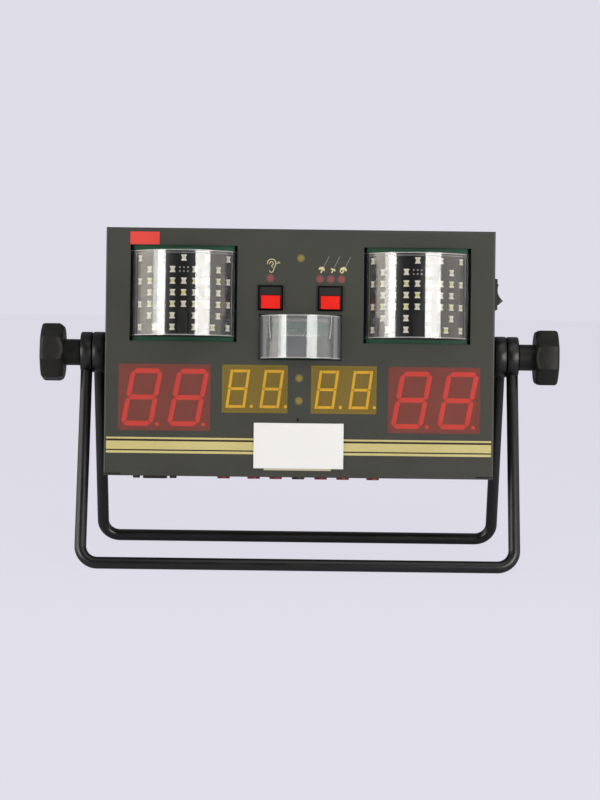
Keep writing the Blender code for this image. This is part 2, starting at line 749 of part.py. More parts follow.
def make_lamp(case, side, label):
    centre_x = side * LAMP_AT[0]
    centre_z = LAMP_AT[1] - LAMP_LENS_DROP
    radius, spread = lens_arc(LAMP_LENS[0], LAMP_BULGE)
    hub = lens_hub(centre_x, radius, spread)
    lens = bmesh.new()
    half = LAMP_LENS[1] / 2
    outline = lens_outline(centre_x, LAMP_LENS[0], LAMP_BULGE)
    prism(lens, outline, "Z", centre_z - half, centre_z + half)
    part(lens, f"lamp_lens_{label}", case, (CLEAR, 0.05, 0.0, 0.35), smooth=True)

    led_face = radius - LENS_WALL - LED_FACE_SINK
    board_face = led_face - LED_RISE
    board_back = board_face - LAMP_BOARD
    end = spread - LAMP_BOARD_INSET
    half = LAMP_BOARD_HEIGHT / 2
    strip = arc(hub, board_face, -end, end, LAMP_BOARD_STEPS)
    strip += arc(hub, board_back, end, -end, LAMP_BOARD_STEPS)
    board = bmesh.new()
    prism(board, strip, "Z", centre_z - half, centre_z + half)
    board = part(board, f"lamp_board_{label}", case, (NEAR_BLACK, 0.5, 0.0))
    leds = lamp_leds(hub, centre_z, led_face, -side * LED_TURN)
    add_to(leds, f"leds_{label}", case, board)
    notch = bmesh.new()
    low = centre_z - half
    box(
        notch,
        (centre_x - LAMP_NOTCH[0] / 2, hub[1] - radius, low - GAP),
        (centre_x + LAMP_NOTCH[0] / 2, hub[1] - board_back + LAMP_BOARD, low + LAMP_NOTCH[1]),
    )
    cut(notch, f"lamp_notch_{label}", case, board)
    make_lamp_holder(case, label, hub, centre_z, board_back - GAP, end)


def make_lamp_holder(case, label, hub, centre_z, outer, end):
    """A curved support that stands on the main board, with a flat carrier behind the panel."""
    holder = bmesh.new()
    back = BOARD_FRONT - GAP
    inner = outer - LAMP_HOLDER_WALL
    half = LAMP_BOARD_HEIGHT / 2
    wall_x = outer * math.sin(end)
    inner_end = math.asin((wall_x - LAMP_HOLDER_WALL) / inner)
    form = [(hub[0] - wall_x, back)]
    form += arc(hub, outer, -end, end, LAMP_BOARD_STEPS)
    form += [(hub[0] + wall_x, back), (hub[0] + wall_x - LAMP_HOLDER_WALL, back)]
    form += arc(hub, inner, inner_end, -inner_end, LAMP_BOARD_STEPS)
    form.append((hub[0] - wall_x + LAMP_HOLDER_WALL, back))
    prism(holder, form, "Z", centre_z - half, centre_z + half)
    holder = part(holder, f"lamp_holder_{label}", case, (NEAR_BLACK, 0.5, 0.0))
    carrier = bmesh.new()
    face = BEHIND_PANEL + LENS_WALL + GAP
    size = (LAMP_LENS[0] + 2 * GAP, LAMP_WINDOW[1] + 2 * GAP)
    plate(carrier, (hub[0], LAMP_AT[1]), size, face, face + LAMP_CARRIER)
    add_to(carrier, f"lamp_carrier_{label}", case, holder)


def column_angle(column):
    """The angle of a column. A place between two columns lies halfway between them."""
    middle = len(LED_COLUMN_ANGLES)
    step = abs(column - middle)
    low = LED_COLUMN_ANGLES[math.floor(step)]
    high = LED_COLUMN_ANGLES[math.ceil(step)]
    return math.copysign(math.radians((low + high) / 2), column - middle)


def lamp_leds(hub, centre_z, face, turn):
    """Small square light sources around the curve, each turned to face straight out."""
    bm = bmesh.new()
    root = face - LED_RISE - LAMP_BOARD / 2
    row_pitch = LED_ROW_SHARE * LAMP_BOARD_HEIGHT
    for row, columns in enumerate(LED_ROWS):
        z = centre_z + row_pitch * ((len(LED_ROWS) - 1) / 2 - row)
        for column in columns:
            angle = column_angle(column) + turn
            half = math.asin(LED_WIDTH / 2 / face)
            corners = arc(hub, face, angle - half, angle + half, 1)
            corners += arc(hub, root, angle + half, angle - half, 1)
            prism(bm, corners, "Z", z - LED_HEIGHT / 2, z + LED_HEIGHT / 2)
    return bm


def make_receiver(case):
    lens = bmesh.new()
    outline = lens_outline(RECEIVER_AT[0], RECEIVER_LENS[0], RECEIVER_BULGE)
    half = RECEIVER_LENS[1] / 2
    prism(lens, outline, "Z", RECEIVER_AT[1] - half, RECEIVER_AT[1] + half)
    part(lens, "receiver_lens", case, (CLEAR, 0.05, 0.0, 0.35), smooth=True)

    bm = bmesh.new()
    thickness = RECEIVER_BOARD
    size = (RECEIVER_LENS[0] - 2 * RECEIVER_BOARD_INSET, RECEIVER_BOARD_HEIGHT)
    centre = (RECEIVER_AT[0], RECEIVER_AT[1] + RECEIVER_BOARD_LIFT)
    face = FRONT - RECEIVER_BOARD_REACH
    plate(bm, centre, size, face, face + thickness)
    board = part(bm, "receiver_board", case, (BOARD_GREEN, 0.4, 0.0))
    bits = bmesh.new()
    for step in (-1, 0, 1):
        x = centre[0] + step * RECEIVER_EYE_PITCH
        middle = face + thickness / 2
        rod(bits, "Y", (x, centre[1]), RECEIVER_EYE_RADIUS, face - thickness, middle, SMALL_SIDES)
        leg = (x - thickness / 2, middle, centre[1] - thickness)
        box(bits, leg, (x + thickness / 2, BOARD_FRONT - GAP, centre[1] + thickness))
    add_to(bits, "receiver_eyes", case, board)


# Displays


def segment_outlines(size, stroke, slant, centre):
    """The seven bars of a digit as six-sided outlines, leaning by the slant."""
    half_w = (size[0] - stroke) / 2
    half_h = (size[1] - stroke) / 2
    half_s = stroke / 2

    def lean(x, z):
        return (centre[0] + x + z * math.tan(slant), centre[1] + z)

    outlines = []
    reach = half_w - SEGMENT_BREAK
    for z in (half_h, 0.0, -half_h):
        bar = (
            (-reach, z), (-reach + half_s, z + half_s), (reach - half_s, z + half_s),
            (reach, z), (reach - half_s, z - half_s), (-reach + half_s, z - half_s),
        )
        outlines.append([lean(*p) for p in bar])
    for x in (-half_w, half_w):
        for low, high in ((-half_h, 0.0), (0.0, half_h)):
            low, high = low + SEGMENT_BREAK, high - SEGMENT_BREAK
            bar = (
                (x, low), (x + half_s, low + half_s), (x + half_s, high - half_s),
                (x, high), (x - half_s, high - half_s), (x - half_s, low + half_s),
            )
            outlines.append([lean(*p) for p in bar])
    return outlines


def digit_marks(bm, centre, size, stroke, slant, dot_radius, dot_space=0.0):
    """A digit's bars and its decimal point, flush with the panel."""
    face = DISPLAY_FACE - SEGMENT_RISE
    root = DISPLAY_FACE + SEGMENT_RISE
    for outline in segment_outlines(size, stroke, slant, centre):
        prism(bm, outline, "Y", face, root)
    low = centre[1] - size[1] / 2 + dot_radius
    lean = (low - centre[1]) * math.tan(slant)
    beside = size[0] / 2 + dot_radius + stroke / 2 + dot_space
    dot = (centre[0] + beside + lean, low)
    rod(bm, "Y", dot, dot_radius, face, root, SMALL_SIDES)


def make_score_digits(case):
    names = ("left_tens", "left_units", "right_tens", "right_units")
    places = [(side, half) for side in (-1, 1) for half in (-0.5, 0.5)]
    for name, (side, half) in zip(names, places):
        centre = (side * SCORE_AT[0] + half * SCORE_PITCH, SCORE_AT[1])
        size = (SCORE_PITCH - GAP, SCORE_WINDOW[1] + 2 * MODULE_MARGIN)
        bm = bmesh.new()
        plate(bm, centre, size, BEHIND_PANEL, BEHIND_PANEL + MODULE_DEPTH)
        digit = part(bm, f"score_digit_{name}", case, (SCORE_RED, 0.4, 0.0))
        face_at = (side * SCORE_AT[0] + half * SCORE_WINDOW[0] / 2, SCORE_AT[1])
        face_size = (SCORE_WINDOW[0] / 2 - 2 * GAP, SCORE_WINDOW[1] - 2 * GAP)
        face = bmesh.new()
        plate(face, face_at, face_size, DISPLAY_FACE, BEHIND_PANEL + GAP)
        add_to(face, f"score_face_{name}", case, digit)
        marks = bmesh.new()
        middle = (centre[0] + SCORE_DIGIT_SHIFT, centre[1])
        digit_marks(marks, middle, SCORE_DIGIT, SCORE_STROKE, SCORE_SLANT, SCORE_DOT)
        add_to(marks, f"score_marks_{name}", case, digit)


def make_clock_digits(case):
    for name, side in (("minutes", -1), ("seconds", 1)):
        centre = (side * CLOCK_AT[0], CLOCK_AT[1])
        size = tuple(length + 2 * MODULE_MARGIN for length in CLOCK_WINDOW)
        bm = bmesh.new()
        plate(bm, centre, size, BEHIND_PANEL, BEHIND_PANEL + MODULE_DEPTH)
        digits = part(bm, f"clock_digits_{name}", case, (CLOCK_AMBER, 0.4, 0.0))
        face_size = tuple(length - 2 * GAP for length in CLOCK_WINDOW)
        face = bmesh.new()
        plate(face, centre, face_size, DISPLAY_FACE, BEHIND_PANEL + GAP)
        add_to(face, f"clock_face_{name}", case, digits)
        marks = bmesh.new()
        for half in (-0.5, 0.5):
            middle = (centre[0] + half * CLOCK_PITCH, centre[1])
            digit_marks(
                marks, middle, CLOCK_DIGIT, CLOCK_STROKE, CLOCK_SLANT, CLOCK_DOT, CLOCK_DOT_SPACE
            )
        add_to(marks, f"clock_marks_{name}", case, digits)


# Indicators


def led_bar(name, case, centres, colour):
    """Round lights behind the film, on one moulded bar that stands on the board."""
    radius = INDICATOR_RADIUS - GAP
    low_x = min(c[0] for c in centres) - radius
    high_x = max(c[0] for c in centres) + radius
    low_z = min(c[1] for c in centres) - radius
    high_z = max(c[1] for c in centres) + radius
    bm = bmesh.new()
    box(bm, (low_x, BEHIND_PANEL, low_z), (high_x, BOARD_FRONT - GAP, high_z))
    bar = part(bm, name, case, (colour, 0.4, 0.0))
    lights = bmesh.new()
    for centre in centres:
        rod(
            lights, "Y", centre, radius - GAP,
            FRONT + GAP, BEHIND_PANEL + GAP, SMALL_SIDES,
        )
    add_to(lights, f"{name}_lights", case, bar)


def make_indicators(case):
    centres = indicator_centres()
    led_bar("sound_led", case, centres[0:1], LIGHT_RED)
    led_bar("start_led", case, centres[1:2], LIGHT_AMBER)
    led_bar("weapon_leds", case, centres[2:5], LIGHT_RED)
    led_bar("clock_colon", case, centres[5:7], LIGHT_AMBER)


# Keys


def make_key(case, side, label):
    """A momentary key: a black well in the panel and a red paddle hinged near its top edge."""
    centre = mirrored(KEY_AT, side)
    bezel_back = FILM_FACE - GAP
    bezel_face = bezel_back - KEY_BEZEL_RISE
    neck = tuple(size - 2 * GAP for size in key_hole_size())
    bm = bmesh.new()
    plate(bm, centre, neck, bezel_face, BOARD_FRONT - GAP)
    body = part(bm, f"{label}_key_body", case, (NEAR_BLACK, 0.4, 0.0))
    rim = bmesh.new()
    plate(rim, centre, KEY_BEZEL, bezel_face - GLUE, bezel_back)
    add_to(rim, f"{label}_key_rim", case, body)

    well = bmesh.new()
    well_size = tuple(size - 2 * KEY_RIM for size in neck)
    well_floor = bezel_face + KEY_WELL_DEPTH
    plate(well, centre, well_size, bezel_face - SHEET, well_floor)
    cut(well, f"{label}_key_well", case, body)

    paddle_low = centre[1] - well_size[1] / 2 + GAP
    paddle_top = paddle_low + KEY_PADDLE[1]
    axle = (bezel_face + KEY_AXLE_RADIUS + KEY_RIM, paddle_top - KEY_AXLE_RADIUS - GAP)
    axle_half = well_size[0] / 2 + KEY_RIM / 2
    sockets = bmesh.new()
    rod(
        sockets, "X", axle, KEY_AXLE_RADIUS + GAP / 2,
        centre[0] - axle_half - GLUE, centre[0] + axle_half + GLUE, SMALL_SIDES,
    )
    cut(sockets, f"{label}_key_sockets", case, body)

    paddle_half = min(KEY_PADDLE[0], well_size[0] - 2 * GAP) / 2
    face = bezel_face - KEY_PADDLE_RISE
    back = face + KEY_PADDLE_THICKNESS
    sweep = KEY_PADDLE[1] * math.sin(KEY_TRAVEL)
    outline = (
        (face, paddle_low), (back, paddle_low + sweep),
        (back, paddle_top), (face + KEY_PADDLE_RISE, paddle_top), (face, paddle_top - GAP),
    )
    paddle = bmesh.new()
    prism(paddle, outline, "X", centre[0] - paddle_half, centre[0] + paddle_half)
    origin = (centre[0], axle[0], axle[1])
    paddle = part(paddle, f"{label}_key", case, (SIGNAL_RED, 0.35, 0.0), origin)
    pins = bmesh.new()
    rod(
        pins, "X", axle, KEY_AXLE_RADIUS,
        centre[0] - axle_half, centre[0] + axle_half, SMALL_SIDES,
    )
    add_to(pins, f"{label}_key_pins", case, paddle)


def make_power_switch(case):
    """A rocker that snaps in the right side. Its lower end stands out at rest."""
    depth, height = POWER_BEZEL
    face = SIDE + GAP + POWER_BEZEL_RISE
    inner = SIDE - POWER_BODY_DEPTH
    neck_depth, neck_height = (size - 2 * GAP for size in power_hole_size())
    back, middle = POWER_AT_DEPTH, POWER_AT_HEIGHT
    bm = bmesh.new()
    box(
        bm,
        (inner, back - neck_depth / 2, middle - neck_height / 2),
        (face, back + neck_depth / 2, middle + neck_height / 2),
    )
    body = part(bm, "power_switch_body", case, (NEAR_BLACK, 0.4, 0.0))
    rim = bmesh.new()
    box(
        rim,
        (SIDE + GAP, back - depth / 2, middle - height / 2),
        (face + GLUE, back + depth / 2, middle + height / 2),
    )
    add_to(rim, "power_switch_rim", case, body)

    axle_x = face - POWER_AXLE_DEPTH
    reach = math.hypot(POWER_ROCKER_HALF, POWER_AXLE_DEPTH)
    well = bmesh.new()
    well_half = reach + RUNNING
    well_depth = depth - 2 * POWER_RIM
    box(
        well,
        (axle_x - reach - RUNNING, back - well_depth / 2, middle - well_half),
        (face + SHEET, back + well_depth / 2, middle + well_half),
    )
    cut(well, "power_switch_well", case, body)
    axle_half = well_depth / 2 + POWER_PIN
    sockets = bmesh.new()
    hole = POWER_AXLE_RADIUS + GAP / 2
    rod(
        sockets, "Y", (axle_x, middle), hole,
        back - axle_half - GAP, back + axle_half + GAP, SMALL_SIDES,
    )
    cut(sockets, "power_switch_sockets", case, body)

    tip = POWER_TIP_RISE + POWER_AXLE_DEPTH
    hollow = tip - POWER_HOLLOW
    outline = [(-POWER_ROCKER_HALF, POWER_AXLE_DEPTH - POWER_BEZEL_RISE / 2)]
    for i in range(ROCKER_STEPS + 1):
        share = 2 * i / ROCKER_STEPS - 1
        outline.append((share * POWER_TIP_HALF, hollow + POWER_HOLLOW * share * share))
    outline.append((POWER_ROCKER_HALF, POWER_AXLE_DEPTH - POWER_BEZEL_RISE / 2))
    outline.append((POWER_HEEL_HALF, -POWER_HEEL_DEPTH))
    outline.append((-POWER_HEEL_HALF, -POWER_HEEL_DEPTH))
    turned_outline = []
    for z, x in outline:
        turn_x = x * math.cos(POWER_TOGGLE) - z * math.sin(POWER_TOGGLE)
        turn_z = z * math.cos(POWER_TOGGLE) + x * math.sin(POWER_TOGGLE)
        turned_outline.append((axle_x + turn_x, middle + turn_z))
    rocker = bmesh.new()
    half = well_depth / 2 - GAP
    prism(rocker, turned_outline, "Y", back - half, back + half)
    origin = (axle_x, back, middle)
    rocker = part(rocker, "power_rocker", case, (NEAR_BLACK, 0.35, 0.0), origin)
    pins = bmesh.new()
    rod(
        pins, "Y", (axle_x, middle), POWER_AXLE_RADIUS,
        back - axle_half, back + axle_half, SMALL_SIDES,
    )
    add_to(pins, "power_rocker_pins", case, rocker)


# Sockets


def make_banana_sockets(case):
    nut_low = FLOOR + SHEET + GAP
    collar_top = FLOOR - GAP
    collar_low = collar_top - SOCKET_COLLAR
    top = collar_top + SOCKET_BARREL
    bore_top = collar_low + SOCKET_BORE_DEPTH
    profile = (
        (bore_top, 0.0), (bore_top, SOCKET_BORE_RADIUS), (collar_low, SOCKET_BORE_RADIUS),
        (collar_low, SOCKET_COLLAR_RADIUS), (collar_top, SOCKET_COLLAR_RADIUS),
        (collar_top, SOCKET_BARREL_RADIUS), (nut_low, SOCKET_BARREL_RADIUS),
        (nut_low, SOCKET_NUT_RADIUS), (nut_low + SOCKET_NUT, SOCKET_NUT_RADIUS),
        (nut_low + SOCKET_NUT, SOCKET_BARREL_RADIUS), (top, SOCKET_BARREL_RADIUS), (top, 0.0),
    )
    for name, offset in zip(SOCKET_NAMES, SOCKET_OFFSETS):
        bm = bmesh.new()
        turned(bm, "Z", (offset, 0.0), profile, SMALL_SIDES)
        colour = NEAR_BLACK if name == "piste_socket" else SOCKET_RED
        part(bm, name, case, (colour, 0.4, 0.0), smooth=True)


def make_data_connector(case):
    """A nine-pin connector behind the floor, whose shell and screw heads show below it."""
    width, depth, thickness = DATA_FLANGE
    low = FLOOR + SHEET + GAP
    top = low + thickness
    bm = bmesh.new()
    box(bm, (DATA_AT - width / 2, -depth / 2, low), (DATA_AT + width / 2, depth / 2, top))
    connector = part(bm, "data_connector", case, (STEEL, 0.4, 1.0))
    shell = bmesh.new()
    middle = low + thickness / 2
    prism(shell, data_shell_outline(0.0), "Z", FLOOR - DATA_SHELL_REACH, middle)
    add_to(shell, "data_shell", case, connector)
    inner = bmesh.new()
    width, depth, rise = DATA_BODY
    box(
        inner,
        (DATA_AT - width / 2, -depth / 2, middle),
        (DATA_AT + width / 2, depth / 2, top + rise),
    )
    add_to(inner, "data_body", case, connector)
    holes = bmesh.new()
    for side in (-1, 1):
        screw = (DATA_AT + side * DATA_SCREW_PITCH / 2, 0.0)
        rod(
            holes, "Z", screw, JACKSCREW_SHANK + GAP,
            low - thickness, top + thickness, SMALL_SIDES,
        )
    cut(holes, "data_screw_holes", case, connector)

    head_top = FLOOR - GAP
    for label, side in (("left", -1), ("right", 1)):
        screw = (DATA_AT + side * DATA_SCREW_PITCH / 2, 0.0)
        end = FLOOR + JACKSCREW_LENGTH
        bm = bmesh.new()
        turned(bm, "Z", screw, (
            (head_top - JACKSCREW_HEAD, 0.0), (head_top - JACKSCREW_HEAD, JACKSCREW_RADIUS),
            (head_top, JACKSCREW_RADIUS), (head_top, JACKSCREW_SHANK),
            (end, JACKSCREW_SHANK), (end, 0.0),
        ), SMALL_SIDES)
        part(bm, f"jackscrew_{label}", case, (NEAR_BLACK, 0.45, 0.0), smooth=True)


def data_shell_outline(spare):
    """The shell's D shape, widened by a clearance for the hole that it passes."""
    half_w = DATA_SHELL[0] / 2 + spare
    half_d = DATA_SHELL[1] / 2 + spare
    return (
        (DATA_AT - half_w, half_d), (DATA_AT - half_w + DATA_SHELL_TAPER, -half_d),
        (DATA_AT + half_w - DATA_SHELL_TAPER, -half_d), (DATA_AT + half_w, half_d),
    )


def make_power_inlet(case):
    """A barrel jack behind the floor, with its mouth flush with the sheet."""
    flange = FLOOR + SHEET + GAP
    pin_low = FLOOR + SHEET
    bore_top = FLOOR + INLET_DEPTH
    end = FLOOR + INLET_LENGTH
    bm = bmesh.new()
    turned(bm, "Z", (INLET_AT, 0.0), (
        (pin_low, 0.0), (pin_low, INLET_PIN_RADIUS),
        (bore_top, INLET_PIN_RADIUS), (bore_top, INLET_MOUTH_RADIUS),
        (FLOOR, INLET_MOUTH_RADIUS), (FLOOR, INLET_BARREL_RADIUS),
        (flange, INLET_BARREL_RADIUS), (flange, INLET_FLANGE_RADIUS),
        (flange + INLET_FLANGE, INLET_FLANGE_RADIUS), (flange + INLET_FLANGE, INLET_BARREL_RADIUS),
        (end, INLET_BARREL_RADIUS), (end, 0.0),
    ), SMALL_SIDES)
    part(bm, "power_inlet", case, (NEAR_BLACK, 0.4, 0.0), smooth=True)


# Electronics


def make_main_board(case):
    """The board, with chips, a ribbon header, a relay and regulator blocks on its back."""
    bm = bmesh.new()
    plate(bm, (0.0, 0.0), BOARD_SIZE, BOARD_FRONT, BOARD_BACK)
    board = part(bm, "main_board", case, (BOARD_GREEN, 0.45, 0.0))
    holes = bmesh.new()
    for x in (-1, 1):
        for z in (-1, 1):
            centre = (x * PILLAR_AT[0], z * PILLAR_AT[1])
            hole = PILLAR_NECK_RADIUS + GAP
            rod(
                holes, "Y", centre, hole,
                BOARD_FRONT - BOARD, BOARD_BACK + BOARD, SMALL_SIDES,
            )
    cut(holes, "board_holes", case, board)
    chips = bmesh.new()
    for centre, size, rise in BOARD_PARTS:
        plate(chips, centre, size, BOARD_FRONT + BOARD / 2, BOARD_BACK + rise)
    add_to(chips, "board_components", case, board)


def make_buzzer(case):
    start = BOARD_BACK + GAP
    end = start + BUZZER_HEIGHT
    bm = bmesh.new()
    turned(bm, "Y", BUZZER_AT, (
        (start, 0.0), (start, BUZZER_RADIUS), (end, BUZZER_RADIUS),
        (end, BUZZER_PORT_RADIUS), (end - BUZZER_PORT, BUZZER_PORT_RADIUS),
        (end - BUZZER_PORT, 0.0),
    ))
    part(bm, "buzzer", case, (NEAR_BLACK, 0.5, 0.0), smooth=True)


# Stand


def make_stud(case, side, label):
    inside = SIDE - SHEET - GAP
    bm = bmesh.new()
    turned(bm, "X", (0.0, 0.0), (
        (side * (inside - STUD_HEAD), 0.0), (side * (inside - STUD_HEAD), STUD_HEAD_RADIUS),
        (side * inside, STUD_HEAD_RADIUS), (side * inside, STUD_RADIUS),
        (side * STUD_END, STUD_RADIUS), (side * STUD_END, 0.0),
    ))
    part(bm, f"pivot_stud_{label}", case, (STEEL, 0.35, 1.0), smooth=True)

    washer = bmesh.new()
    start = side * WASHER_START
    end = side * (WASHER_START + WASHER)
    turned_ring(washer, "X", (0.0, 0.0), (
        (start, STUD_HOLE), (start, WASHER_RADIUS), (end, WASHER_RADIUS), (end, STUD_HOLE),
    ))
    part(washer, f"friction_washer_{label}", case, (NEAR_BLACK, 0.8, 0.0), smooth=True)


def eye_profile(start):
    end = start + EYE_THICKNESS
    bore = STUD_HOLE
    return (
        (start, bore), (start, EYE_RADIUS - EYE_EDGE), (start + EYE_EDGE, EYE_RADIUS),
        (end - EYE_EDGE, EYE_RADIUS), (end, EYE_RADIUS - EYE_EDGE), (end, bore),
    )


def bail_path(leg_x, length):
    """From inside the left eye, down the leg, along the bar and up to the right eye."""
    top = -(STUD_HOLE + EYE_RADIUS) / 2
    path = [(-leg_x, 0.0, top)]
    for side in (-1, 1):
        for i in range(BEND_STEPS + 1):
            turn = math.radians(90) * i / BEND_STEPS
            if side > 0:
                turn = math.radians(90) - turn
            x = leg_x - ROD_BEND + ROD_BEND * math.cos(turn)
            z = -length + ROD_BEND - ROD_BEND * math.sin(turn)
            path.append((side * x, 0.0, z))
    path.append((leg_x, 0.0, top))
    return path


def make_bail(pivot, name, eye_start, length, lean):
    """A bent rod with a welded eye on each leg, turned about the pivot by its lean."""
    leg_x = eye_start + EYE_THICKNESS / 2
    bm = bmesh.new()
    tube(bm, bail_path(leg_x, length), ROD_RADIUS)
    bail = part(bm, name, pivot, (NEAR_BLACK, 0.35, 0.0), turn=(lean, 0.0, 0.0), smooth=True)
    eyes = bmesh.new()
    for side in (-1, 1):
        profile = [(side * x, radius) for x, radius in eye_profile(eye_start)]
        turned_ring(eyes, "X", (0.0, 0.0), profile)
    add_to(eyes, f"{name}_eyes", pivot, bail)


def knob_radii(radius, flute, sides):
    """Radii around the knob: hollow flutes that meet in sharp ridges."""
    radii = []
    for i in range(sides):
        radii.append(radius - flute * abs(math.cos(KNOB_FLUTES * math.pi * i / sides)))
    return radii


def make_knob(pivot, side, label):
    """A hand knob with a neck. Its blind bore takes the stud, and its face is crowned.

    The crown's rings are given by their distance from the face, inset and share of the flutes.
    """
    sides = KNOB_FLUTE_SIDES * KNOB_FLUTES
    bore = STUD_HOLE
    bore_end = NECK_START + STUD_IN_KNOB
    end = KNOB_START + KNOB_THICKNESS

    def round_ring(distance, radius):
        return (side * distance, [radius] * sides)

    def fluted_ring(distance, radius, flute):
        return (side * distance, knob_radii(radius, flute, sides))

    edge = KNOB_EDGE
    sections = [
        (side * bore_end, [0.0]),
        round_ring(bore_end, bore),
        round_ring(NECK_START, bore),
        round_ring(NECK_START, KNOB_NECK_RADIUS),
        round_ring(KNOB_START, KNOB_NECK_RADIUS),
        fluted_ring(KNOB_START, KNOB_RADIUS - edge, 0.0),
        fluted_ring(KNOB_START + edge, KNOB_RADIUS, KNOB_FLUTE),
    ]
    for setback, inset, share in KNOB_CROWN:
        sections.append(fluted_ring(end - setback, KNOB_RADIUS - inset, KNOB_FLUTE * share))
    sections.append((side * end, [0.0]))
    bm = bmesh.new()
    loft(bm, "X", (0.0, 0.0), sections)
    turn = (-KNOB_TURN[label], 0.0, 0.0)
    part(bm, f"knob_{label}", pivot, (NEAR_BLACK, 0.5, 0.0), turn=turn, smooth=True)


# Assembly


def rear_reach():
    """The furthest point behind the pivot: the case's top rear edge or the rear bar."""
    edge = REAR * math.cos(LEAN_BACK) - FLOOR * math.sin(LEAN_BACK)
    return max(edge, REAR_SPREAD + ROD_RADIUS)


def build():
    clear_scene()
    back = (FRONT_SPREAD + ROD_RADIUS - rear_reach()) / 2
    pivot = empty("pivot_axis", (0.0, back, PIVOT_HEIGHT + ROD_RADIUS))
    case = empty("case_frame", lean=-LEAN_BACK, parent=pivot)

    make_front_shell(case)
    make_rear_cover(case)
    make_pillars_and_screws(case)
    make_front_film(case)
    make_stickers(case)
    for side, label in ((-1, "left"), (1, "right")):
        make_lamp(case, side, label)
        make_stud(case, side, label)
        make_knob(pivot, side, label)
    make_receiver(case)
    make_score_digits(case)
    make_clock_digits(case)
    make_indicators(case)
    make_key(case, -1, "sound")
    make_key(case, 1, "weapon")
    make_power_switch(case)
    make_banana_sockets(case)
    make_data_connector(case)
    make_power_inlet(case)
    make_main_board(case)
    make_buzzer(case)
    make_bail(pivot, "front_bail", OUTER_EYE_START, FRONT_BAIL_LENGTH, -FRONT_LEAN)
    make_bail(pivot, "rear_bail", INNER_EYE_START, REAR_BAIL_LENGTH, REAR_LEAN)


build()
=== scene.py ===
"""Looks of the fencing scoring machine: finishes, finer pieces, light and camera.

Metres. What belongs to the case is drawn in the case's own frame, whose origin is the middle of
the pivot axis: x to the right as a viewer sees the panel, y to the back, z up along the panel.
CASE moves it to its place. What belongs to the stand is drawn about the same axis, upright.
"""

import json
import math

import bmesh
import bpy
from mathutils import Euler, Matrix, Vector

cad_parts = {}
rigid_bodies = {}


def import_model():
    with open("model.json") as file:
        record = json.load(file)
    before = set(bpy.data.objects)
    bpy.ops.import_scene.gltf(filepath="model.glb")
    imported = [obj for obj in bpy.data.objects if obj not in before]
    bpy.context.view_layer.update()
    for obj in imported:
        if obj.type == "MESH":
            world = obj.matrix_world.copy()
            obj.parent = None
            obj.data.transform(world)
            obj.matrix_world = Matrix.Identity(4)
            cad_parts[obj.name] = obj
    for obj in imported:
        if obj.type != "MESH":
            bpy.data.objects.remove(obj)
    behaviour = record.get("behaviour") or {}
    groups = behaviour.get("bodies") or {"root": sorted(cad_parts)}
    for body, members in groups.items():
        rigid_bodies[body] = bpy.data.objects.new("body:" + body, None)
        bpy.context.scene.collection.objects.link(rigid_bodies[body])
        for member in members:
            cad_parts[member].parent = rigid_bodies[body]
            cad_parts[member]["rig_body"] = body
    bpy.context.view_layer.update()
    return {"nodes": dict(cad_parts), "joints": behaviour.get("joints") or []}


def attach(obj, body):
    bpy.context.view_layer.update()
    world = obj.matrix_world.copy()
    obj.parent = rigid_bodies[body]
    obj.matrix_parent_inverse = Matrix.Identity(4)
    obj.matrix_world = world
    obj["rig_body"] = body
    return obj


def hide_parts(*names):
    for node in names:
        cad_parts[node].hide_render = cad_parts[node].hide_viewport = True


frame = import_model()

# Camera, fitted to the photograph: angles in degrees and the focal length in its pixels
PHOTO_SIZE = (600, 800)
CAMERA_DISTANCE = 1.6675
CAMERA_AZIMUTH = -0.16
CAMERA_ELEVATION = 6.74
CAMERA_YAW = 0.183
CAMERA_PITCH = 7.796
CAMERA_ROLL = 0.726
FOCAL_PIXELS = 2446.1
SENSOR = 36.0

# Clearances and walls
GAP = 0.0003  # between two solids
SKIN = 0.00003  # between a print and what it lies on
PRINT = 0.00003
SHEET = 0.0015  # the case's sheet metal


# Places and sizes from the frame


def case_matrix():
    """The case's frame: its origin is on the pivot axis and its y axis is the rocker's axle."""
    joints = {joint["name"]: joint for joint in frame["joints"]}
    across = Vector((1.0, 0.0, 0.0))
    back = Vector(joints["power_rocker_toggle"]["axis"])
    up = across.cross(back)
    made = Matrix((across, back, up)).transposed().to_4x4()
    made.translation = joints["front_bail_swing"]["pos_m"]
    return made


CASE = case_matrix()
PIVOT = CASE.translation.copy()
STAND = Matrix.Translation(PIVOT)


def local_box(node, place, before=None):
    """A CAD node's (lowest, highest) corner in a frame, or of what lies before a depth."""
    inverse = place.inverted()
    points = [inverse @ v.co for v in frame["nodes"][node].data.vertices]
    if before is not None:
        points = [p for p in points if p.y < before]
    low = Vector(min(p[i] for p in points) for i in range(3))
    high = Vector(max(p[i] for p in points) for i in range(3))
    return low, high


def case_box(node, before=None):
    return local_box(node, CASE, before)


SHELL_LOW, SHELL_HIGH = case_box("front_shell")
CASE_WIDTH = 2 * SHELL_HIGH.x
CASE_HEIGHT = 2 * SHELL_HIGH.z
FRONT = SHELL_LOW.y
BEHIND_SHEET = FRONT + SHEET + GAP
DISPLAY_FACE = FRONT + GAP
FILM_FACE = case_box("front_film")[0].y

# Where thin layers start and end in depth
PRINTED = (FILM_FACE - SKIN - PRINT, FILM_FACE - SKIN / 10)
PANE = (FILM_FACE + 0.00005, FILM_FACE + 0.00020)
SPOT = (FILM_FACE + 0.00004, FILM_FACE + 0.00020)
RIM = (FRONT + 0.00004, FRONT + 0.00008)
LIT_BAR = (FRONT - 0.00015, FRONT)


def on_panel(across, up):
    """A place or size on the front, given as shares of the panel's width and height."""
    return (across * CASE_WIDTH, up * CASE_HEIGHT)


